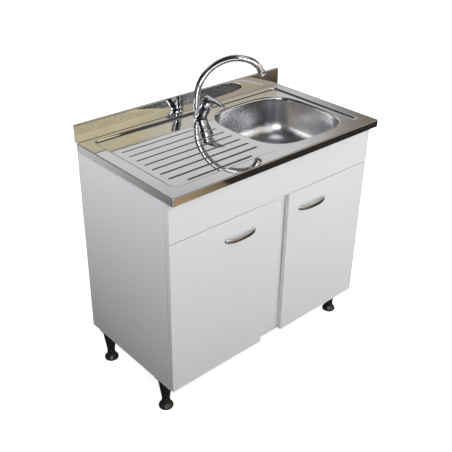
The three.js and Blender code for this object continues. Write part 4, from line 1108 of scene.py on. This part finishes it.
def softened(name, node, material, bevel=0.8, segments=3):
    """A merged copy of a CAD node with its edges rounded."""
    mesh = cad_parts[node].data.copy()
    mesh.name = name
    work = bmesh.new()
    work.from_mesh(mesh)
    bmesh.ops.remove_doubles(work, verts=work.verts, dist=1e-5)
    bmesh.ops.recalc_face_normals(work, faces=work.faces)
    flat = math.radians(1.5)
    bmesh.ops.dissolve_limit(work, angle_limit=flat, verts=work.verts, edges=work.edges)
    work.to_mesh(mesh)
    work.free()
    mesh.materials.clear()
    mesh.materials.append(material)
    mesh.polygons.foreach_set("material_index", [0] * len(mesh.polygons))
    smooth(mesh)
    made = linked(name, mesh)
    round_off = made.modifiers.new("round", "BEVEL")
    round_off.width = bevel * MM
    round_off.segments = segments
    round_off.limit_method = "ANGLE"
    round_off.angle_limit = math.radians(40)
    return evened(made)


def middle(node):
    """The middle of a CAD node's box, in millimetres."""
    low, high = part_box(node)
    return (low + high) / 2 / MM


def upright(x, y, z=0.0):
    """Place of what is made upright about a line through x, y."""
    return Matrix.Translation((x, y, z))


def leaning_base():
    """Place of what is made upright about the tap base's leaning axis."""
    return upright(TAP_X, TAP_Y, TAP_Z) @ Matrix.Rotation(math.radians(TAP_LEAN), 4, "X")


PIVOT = leaning_base() @ Vector((0, 0, HOUSING_LENGTH))
LEAN = Vector((0, -math.sin(math.radians(TAP_LEAN)), math.cos(math.radians(TAP_LEAN))))


# ------------------------------------------------------------------ tap
def tap_body():
    """A leaning housing and an upright pipe, cast in one and standing on a low foot."""
    base, spout_foot = Vector((TAP_X, TAP_Y, TAP_Z)), (TAP_X, SPOUT_Y, SPOUT_Z)
    web_middle, web_half, web_round = (TAP_X, 177, 855), (9.5, 13, 16), 3

    def housing_radius(t):
        swell = np.clip((t * 89 - 42) / 34, 0, 1)
        return 20 + 3 * swell**2 * (3 - 2 * swell)

    def field(x, y, z):
        # each line: the piece's two ends, its radius and how much its edges are rounded
        housing = cylinder(x, y, z, base - LEAN * 20, PIVOT, housing_radius, 1.2)
        pipe = cylinder(x, y, z, (TAP_X, SPOUT_Y, 830), spout_foot, 12, 0.8)
        foot = cylinder(x, y, z, (TAP_X, TAP_Y, 830), (TAP_X, TAP_Y, TAP_Z + 5), 21, 2)
        past = [np.abs(c - m) - h + web_round for c, m, h in zip((x, y, z), web_middle, web_half)]
        web = np.sqrt(sum(np.maximum(p, 0) ** 2 for p in past)) - web_round
        whole = blended(blended(housing, web, 7), blended(pipe, web, 5), 3)
        whole = blended(whole, foot, 5)
        cartridge_bore = cylinder(x, y, z, base + LEAN * 29.7, PIVOT + LEAN * 8, 17.5, 0.5)
        spout_bore = cylinder(x, y, z, (TAP_X, SPOUT_Y, 860.3), (TAP_X, SPOUT_Y, 890), 8.3, 0.3)
        whole = hollowed(hollowed(whole, cartridge_bore, 0.8), spout_bore, 0.5)
        return np.maximum(whole, TAP_Z - z)

    made = cast("tap_casting", field, (-26, 104, 844), (30, 208, 921), 1.0, CHROME)
    return settle(made, "cabinet", "tap_body")


def lever():
    """A domed cap over the cartridge with a blade that tapers to a rounded tip at the front."""
    dome_radius, hollow_radius, tip, crown = 25.5, 21.2, 77.5, 72
    rim = 0.46 * dome_radius
    stem_half, stem_top = 3.8, 23.9

    def field(x, y, z):
        x, u, w = x - PIVOT.x, PIVOT.y - y, z - PIVOT.z
        away = np.sqrt(x**2 + u**2 + w**2)
        along = u * math.sin(math.radians(TAP_LEAN)) + w * math.cos(math.radians(TAP_LEAN))
        dome = -blended(-(away - dome_radius), -(rim - along), 1.0)
        # the blade: its top and under side, and its two edges that meet round the tip
        t = np.clip((crown - np.sqrt(np.maximum(crown**2 - 12 * (u - 14), 0))) / 6, -0.3, 1.1)
        top = 22.8 + 3 * t - 14.5 * np.maximum(t, 0) ** 2 - x**2 / 60
        s = np.clip((u - 30) / 56, 0, 1)
        under = np.where(u < 30, 2 + u * 8 / 30, 10 + 6 * s - 11 * s**2) + x**2 / 200
        p = np.clip((u - 12) / 65.5, 0, 1)
        wide = 16.8 - 10 * p + 3.6 * p**2
        side = np.sqrt(x**2 + np.maximum(u - tip, 0) ** 2) - wide
        blade = -blended(-(w - top), -(under - w), 2.5)
        blade = np.maximum(-blended(-blade, -side, 4.0), -u)
        whole = hollowed(blended(dome, blade, 6.0), away - hollow_radius, 0.8)
        across = np.abs(u * LEAN.z - w * -LEAN.y)
        hole = np.maximum(np.maximum(np.abs(x) - stem_half, across - stem_half), along - stem_top)
        return hollowed(whole, np.maximum(hole, -along), 0.4)

    low = (PIVOT.x - 28, PIVOT.y - 90, PIVOT.z - 4)
    high = (PIVOT.x + 28, PIVOT.y + 24, PIVOT.z + 30)
    made = cast("lever_casting", field, low, high, 1.0, CHROME)
    return settle(made, "lever", "tap_lever")


def spout_line(step=3.0):
    """Points and headings (out, up, angle) along the spout's middle line, in its own plane."""
    line, out, up, start = [(0.0, 0.0, 0.0)], 0.0, 0.0, 0.0
    for straight, radius, end in SPOUT_RUNS:
        end = math.radians(end)
        length = straight if radius is None else radius * (end - start)
        parts = max(2, round(length / step))
        for k in range(1, parts + 1):
            along = length * k / parts
            if radius is None:
                line.append((out + along * math.sin(start), up + along * math.cos(start), start))
                continue
            angle = start + along / radius
            x = out + radius * (math.cos(start) - math.cos(angle))
            line.append((x, up + radius * (math.sin(angle) - math.sin(start)), angle))
        out, up, start = line[-1]
    return line


def spout_place():
    """Place of the spout's pieces, turned about the pipe they stand on."""
    turn = Matrix.Rotation(math.radians(SPOUT_TURN), 4, "Z")
    return upright(TAP_X, SPOUT_Y, SPOUT_Z + SEAM) @ turn


def spout():
    """The swept swan-neck tube and the spigot under it."""
    place = spout_place()
    line = bpy.data.meshes.new("spout_line")
    points = [place @ Vector((out, 0, up)) * MM for out, up, _ in spout_line()]
    line.from_pydata(points, [(k, k + 1) for k in range(len(points) - 1)], [])
    tube = grown("spout_tube", line, SWEEP, Radius=SPOUT_RADIUS * MM, Sides=72, Finish=CHROME)
    smooth(tube.data)
    creased(tube, 40)
    corners = [(0, -20), (7.2, -20), (8, -19), (8, -0.2), (0, -0.2)]
    spigot = turned("spigot", corners, CHROME, 40, place)
    return settle(joined("swan_neck", [tube, spigot]), "spout", "tap_spout")


def spout_collar():
    """The ring round the spout's foot."""
    corners = [(11.3, 3), (11.3, 0), (13, 0, 0.5), (13, 7, 0.7), (11.3, 7, 0.4), (11.3, 3)]
    made = turned("foot_ring", corners, CHROME, 64, spout_place(), 4)
    return settle(made, "spout", "spout_collar")


def aerator():
    """The sleeve at the spout's end, with a knurled band and the rings of its screen."""
    out, up, angle = spout_line()[-1]
    place = spout_place() @ upright(out, 0, up) @ Matrix.Rotation(angle, 4, "Y")
    sleeve = [(0, 0.3), (11.6, 0.3), (11.6, -9), (12.4, -9), (13.2, -8.2, 0.4), (13.2, 0.5)]
    sleeve += [(12.8, 0.9, 0.2), (12.8, 1.5, 0.2), (13.2, 1.9), (13.2, 6.1, 0.7), (12.2, 7)]
    sleeve += [(10.2, 7, 0.4), (9.7, 4.5)]
    for k in range(5):
        r = 8.8 - 1.8 * k
        sleeve += [(r, 4.5, 0.2), (r, 5.1, 0.2), (r - 0.8, 5.1, 0.2), (r - 0.8, 4.5, 0.2)]
    sleeve.append((0, 4.5))
    body = turned("sleeve", sleeve, CHROME, 64, place, 3, 50)
    rib = (-0.35, -0.3, 2.4), (0.25, 0.3, 5.4)
    made = ribbed("screen_sleeve", [body], *rib, 0.2, 48, 13.2, CHROME, place)
    return settle(made, "spout", "aerator")


def tap_inner():
    """Cap, cartridge, carrier and stem under the lever."""
    arc = []
    for radius, start, end in ((20, 0.02, 0.863), (18, 0.764, 0.02)):
        for k in range(13):
            angle = start + (end - start) * k / 12
            arc.append((radius * math.cos(angle), HOUSING_LENGTH + radius * math.sin(angle)))
    cap = turned("cap_ring", [*arc, arc[0]], CHROME, 72, leaning_base(), 3, 40)
    settle(cap, "cabinet", "cartridge_cap")
    for name, node, material, body, slot in (
        ("cartridge_core", "tap_cartridge", WHITE_PLASTIC, "cabinet", "white_plastic"),
        ("carrier_disc", "cartridge_carrier", WHITE_PLASTIC, "carrier", "white_plastic"),
        ("square_stem", "lever_stem", BRASS, "lever", "brass"),
    ):
        settle(softened(name, node, material, 0.3, 2), body, node)


def tap_fixings():
    """What holds the tap to the sink: gasket, threaded shank, clamp plate and nut."""
    place, z = upright(TAP_X, TAP_Y), RECESS_Z + SEAM
    ring = [(16.3, z + 0.7), (16.3, z), (20, z), (20, z + 1.5, 0.3), (16.3, z + 1.5), (16.3, z + 0.7)]
    settle(turned("base_gasket", ring, RUBBER, 48, place), "cabinet", "tap_gasket")
    top, pitch = TAP_Z - SEAM, 1.6
    thread = [(13, top - 20), (13, top - 52), (15.2, top - 52)]
    z = top - 50.5
    while z < top - 8:
        thread += [(16, z, 0.2), (15.1, z + pitch / 2, 0.2)]
        z += pitch
    thread += [(16, top - 6), (16, top), (13, top), (13, top - 20)]
    shank = turned("threaded_shank", thread, BRASS, 40, place, 2, 60)
    settle(shank, "cabinet", "tap_shank")
    settle(softened("clamp_plate", "tap_clamp", ZINC, 0.4, 2), "cabinet", "tap_clamp")
    settle(softened("hexagon_nut", "tap_nut", BRASS, 0.6, 2), "cabinet", "tap_nut")


# ------------------------------------------------------------------ waste and trap
def nut(name, inner, outer, low, high, ribs, place, node):
    """A round plastic nut with grip ribs set in a ring."""
    middle = (low + high) / 2
    corners = [(inner, middle), (inner, low, 0.4), (outer - 2, low, 1), (outer - 1.2, low + 2)]
    corners += [(outer - 1.2, high - 2), (outer - 2, high, 1), (inner, high, 0.4), (inner, middle)]
    body = turned(name + "_ring", corners, WHITE_PLASTIC, 56, place, 3)
    rib = (-1.8, -outer * 0.07, low + 1.2), (0, outer * 0.07, high - 1.2)
    made = ribbed(name, [body], *rib, 0.7, ribs, outer, WHITE_PLASTIC, place)
    return settle(made, "cabinet", node)


def waste():
    """The waste under the bowl: strainer cup, gasket, locknut, basket and tailpiece nut."""
    place = upright(BOWL_X, BOWL_Y)
    flange, bottom = 682.3, 636.3
    cup = [(41.5, 660), (41.5, flange - 1), (42.3, flange + 0.2), (50, flange + 0.5)]
    cup += [(55, flange + 0.7, 0.4), (56, flange + 0.05), (43.5, flange), (43.5, bottom + 8, 2)]
    cup += [(35.5, bottom, 2), (19.5, bottom - 2, 1), (19.5, bottom - 26), (16.5, bottom - 26)]
    cup += [(16.5, bottom + 2, 1), (34.5, bottom + 2, 2), (41.5, bottom + 9, 2), (41.5, 660)]
    made = turned("waste_cup", cup, BOWL_STEEL, 72, place, 4, 45)
    settle(made, "cabinet", "strainer_cup")
    top = 680.5
    ring = [(44.5, top - 1.5), (44.5, top - 3, 0.5), (55, top - 3, 0.8), (55, top, 0.8)]
    ring += [(44.5, top, 0.5), (44.5, top - 1.5)]
    settle(turned("under_gasket", ring, RUBBER, 64, place), "cabinet", "waste_gasket")
    nut("lock_nut", 43.8, 58, top - 15.3, top - 3.3, 16, place, "waste_locknut")
    basket(place)
    end = 610.3
    corners = [(16.3, end - 3), (16.3, end - 4), (23.5, end - 4, 1), (23.5, end + 16, 1)]
    corners += [(19.8, end + 16), (19.8, end - 0.3), (16.3, end - 0.3), (16.3, end - 3)]
    body = turned("tail_nut_ring", corners, WHITE_PLASTIC, 48, place, 3)
    rib = (-1, -1.4, end - 2), (0.5, 1.4, end + 14)
    made = ribbed("tail_nut", [body], *rib, 0.5, 12, 23.4, WHITE_PLASTIC, place)
    settle(made, "cabinet", "tailpiece_nut")


def basket(place):
    """The lift-out basket: a turned cup and knob with webs in a ring between floor and rim."""
    floor, rim, radius, knob = 645.6, 679.0, 39.5, 696.0
    shape = [(0, floor), (radius - 7, floor, 1), (radius - 3.4, floor + 8), (radius - 5.4, floor + 8.2)]
    shape += [(radius - 8.5, floor + 1.8, 1), (4.4, floor + 1.6, 1), (3.2, knob - 9, 1)]
    shape += [(9, knob - 4.4, 1), (9, knob - 1.4, 0.8), (6, knob, 1.5), (0, knob)]
    cup = turned("basket_cup", shape, BOWL_STEEL, 64, place, 4, 50)
    top = [(radius - 2.4, rim - 9), (radius - 1.6, rim - 9.2), (radius - 0.6, rim - 2)]
    top += [(radius, rim - 0.4, 0.3), (radius - 1.6, rim, 0.3), (radius - 2.6, rim - 2)]
    band = turned("basket_rim", [*top, top[0]], BOWL_STEEL, 64, place, 3, 50)
    web = (-2.6, -5.4, floor + 5), (-1.2, 5.4, rim - 6)
    made = ribbed("lift_basket", [cup, band], *web, 0.3, 14, radius - 1.6, BOWL_STEEL, place)
    settle(made, "basket", "basket_plug")
    low = 638.6
    seal = [(0, low), (22.5, low, 0.6), (24.5, low + 3.7, 1), (20.5, low + 6.7, 1), (0, low + 6.7)]
    settle(turned("basket_foot", seal, RUBBER, 48, place), "basket", "basket_seal")


def straight_pipe(name, inner, outer, middle, start, end, place, node):
    """A straight plastic pipe, named with the node it stands for."""
    corners = [(inner, middle), (inner, start, 0.3), (outer, start, 0.3), (outer, end, 0.3)]
    corners += [(inner, end, 0.3), (inner, middle)]
    settle(turned(name, corners, WHITE_PLASTIC, 48, place), "cabinet", node)


def trap():
    """The bottle trap with its pipes and nuts."""
    place = upright(BOWL_X, BOWL_Y)
    straight_pipe("down_pipe", 14, 16, 500, 370, 624.3, place, "inlet_pipe")
    nut("neck_nut", 16.3, 25, 452.3, 470, 10, place, "trap_nut")
    shell = [(16.3, 449), (16.3, 446, 1), (26.5, 440, 2), (30.5, 432, 2), (30.5, 352, 0.5)]
    shell += [(33, 352, 0.5), (33, 434, 5), (27, 446, 3), (22, 452, 0.5), (16.3, 452, 0.3), (16.3, 449)]
    body = turned("bottle_shell", shell, WHITE_PLASTIC, 64, place, 4)
    back = upright(BOWL_X, BOWL_Y, 424) @ Matrix.Rotation(math.radians(-90), 4, "X")
    stub = [(16, 40), (16, 29), (19, 29), (19, 55, 0.4), (16, 55, 0.4), (16, 40)]
    stub = turned("bottle_stub", stub, WHITE_PLASTIC, 48, back)
    settle(joined("bottle", [body, stub]), "cabinet", "trap_bottle")
    cup = [(0, 336), (30, 336, 2), (35.2, 340.5, 2), (35.2, 360, 0.8), (33.3, 360), (33.3, 351.7)]
    cup += [(29, 351.7), (27, 339, 1), (0, 339)]
    body = turned("cup_shell", cup, WHITE_PLASTIC, 56, place, 4)
    rib = (-1, -1.6, 343), (0.8, 1.6, 358)
    made = ribbed("bottle_cup", [body], *rib, 0.6, 18, 35.2, WHITE_PLASTIC, place)
    settle(made, "cabinet", "trap_cup")
    nut("side_nut", 15.3, 24, 55.3, 69.3, 10, back, "outlet_nut")
    straight_pipe("side_pipe", 13, 15, 100, 37, 255, back, "outlet_pipe")


# ------------------------------------------------------------------ cabinet, doors and legs
def boards():
    """The cabinet's boards and its two doors, with softened edges."""
    rails = ("front_rail", "centre_stile", "back_rail_top", "back_rail_low")
    for node in ("left_side", "right_side", "bottom_panel", *rails, "apron"):
        bevel = 1.0 if node == "apron" else 0.5
        settle(softened(node + "_board", node, BOARD, bevel), "cabinet", node)
    for side in ("left", "right"):
        made = softened(side + "_door_board", side + "_door", BOARD, 1.0)
        settle(made, side + "_leaf", side + "_door")


def bezier(points, t):
    """A point at share t of a curve with four control points."""
    a, b, c, d = (Vector(p) for p in points)
    return a * (1 - t) ** 3 + b * 3 * t * (1 - t) ** 2 + c * 3 * t * t * (1 - t) + d * t**3


def hinges():
    """The four hinges: a cup in each door's back, an arm with its plate on the side."""
    for side in ("left", "right"):
        for level in ("lower", "upper"):
            cup, arm = f"{side}_{level}_hinge_cup", f"{side}_{level}_hinge_arm"
            settle(softened(cup + "_shell", cup, ZINC, 0.35, 2), side + "_leaf", cup)
            settle(softened(arm + "_bar", arm, ZINC, 0.7, 2), "cabinet", arm)


def handles():
    """Bow handles: a rounded bar that widens to its feet on the door."""
    rows = [(bezier(HANDLE_OUT, k / 32), bezier(HANDLE_IN, k / 32)) for k in range(33)]
    rows += [(Vector((-o.x, o.y)), Vector((-i.x, i.y))) for o, i in rows[-2::-1]]
    count = 36
    for side, body in ((-1, "left"), (1, "right")):
        centre = Vector((side * HANDLE_X, HANDLE_Y, HANDLE_Z))
        points, faces = [], []
        for outer, inner in rows:
            middle, half = (outer + inner) / 2, (outer - inner) / 2
            for k in range(count):
                angle = TAU * k / count
                c, s = (math.copysign(abs(v) ** 0.85, v) for v in (math.cos(angle), math.sin(angle)))
                flat = middle + half * c
                points.append(centre + Vector((flat.x, flat.y, HANDLE_HALF_HEIGHT * s)))
        for a in range(0, len(points) - count, count):
            b = a + count
            faces += [(a + k, a + (k + 1) % count, b + (k + 1) % count, b + k) for k in range(count)]
        faces += [tuple(range(count)), tuple(range(len(points) - count, len(points)))]
        made = creased(piece(body + "_bow", points, faces, SATIN), 50)
        settle(made, body + "_leaf", body + "_handle")


def legs():
    """The four legs: a tapered tube under a ribbed plate, and a screw foot that slides in it."""
    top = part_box("left_front_leg")[1].z / MM
    tube = [(9, 60), (9, 40, 0.3), (14, 40, 0.6), (24, top - 12, 4), (24, top - 2), (0, top - 2)]
    tube += [(0, 106), (9, 104), (9, 60)]
    foot = [(0, 0), (24.4, 0, 0.8), (25.6, 1.8, 1), (25.2, 6.5, 3), (19, 14.5, 4.5), (15, 22, 4)]
    foot += [(14, 39.7, 1), (8.7, 39.7), (8.7, 100, 0.5), (0, 100)]
    rib = (-8, -0.9, top - 10.7), (0.6, 0.9, top - 3.7)
    for name in ("left_front", "left_back", "right_front", "right_back"):
        place = upright(*middle(name + "_foot")[:2])
        low, high = (-25.5, -25.5, top - 4), (25.5, 25.5, top)
        plate = rounded_block("plate", low, high, BLACK_PLASTIC, 1, 2, place)
        body = turned("tube", tube, BLACK_PLASTIC, 56, place, 4, 40)
        made = ribbed(name + "_leg_tube", [body, plate], *rib, 0.4, 8, 24.5, BLACK_PLASTIC, place)
        settle(made, "cabinet", name + "_leg")
        made = turned(name + "_leg_foot", foot, BLACK_PLASTIC, 64, place, 6, 40)
        settle(made, name + "_screw_foot", name + "_foot")


sink_top()
sink_bowl()
tap_body()
lever()
spout()
spout_collar()
aerator()
tap_inner()
tap_fixings()
waste()
trap()
boards()
hinges()
handles()
legs()
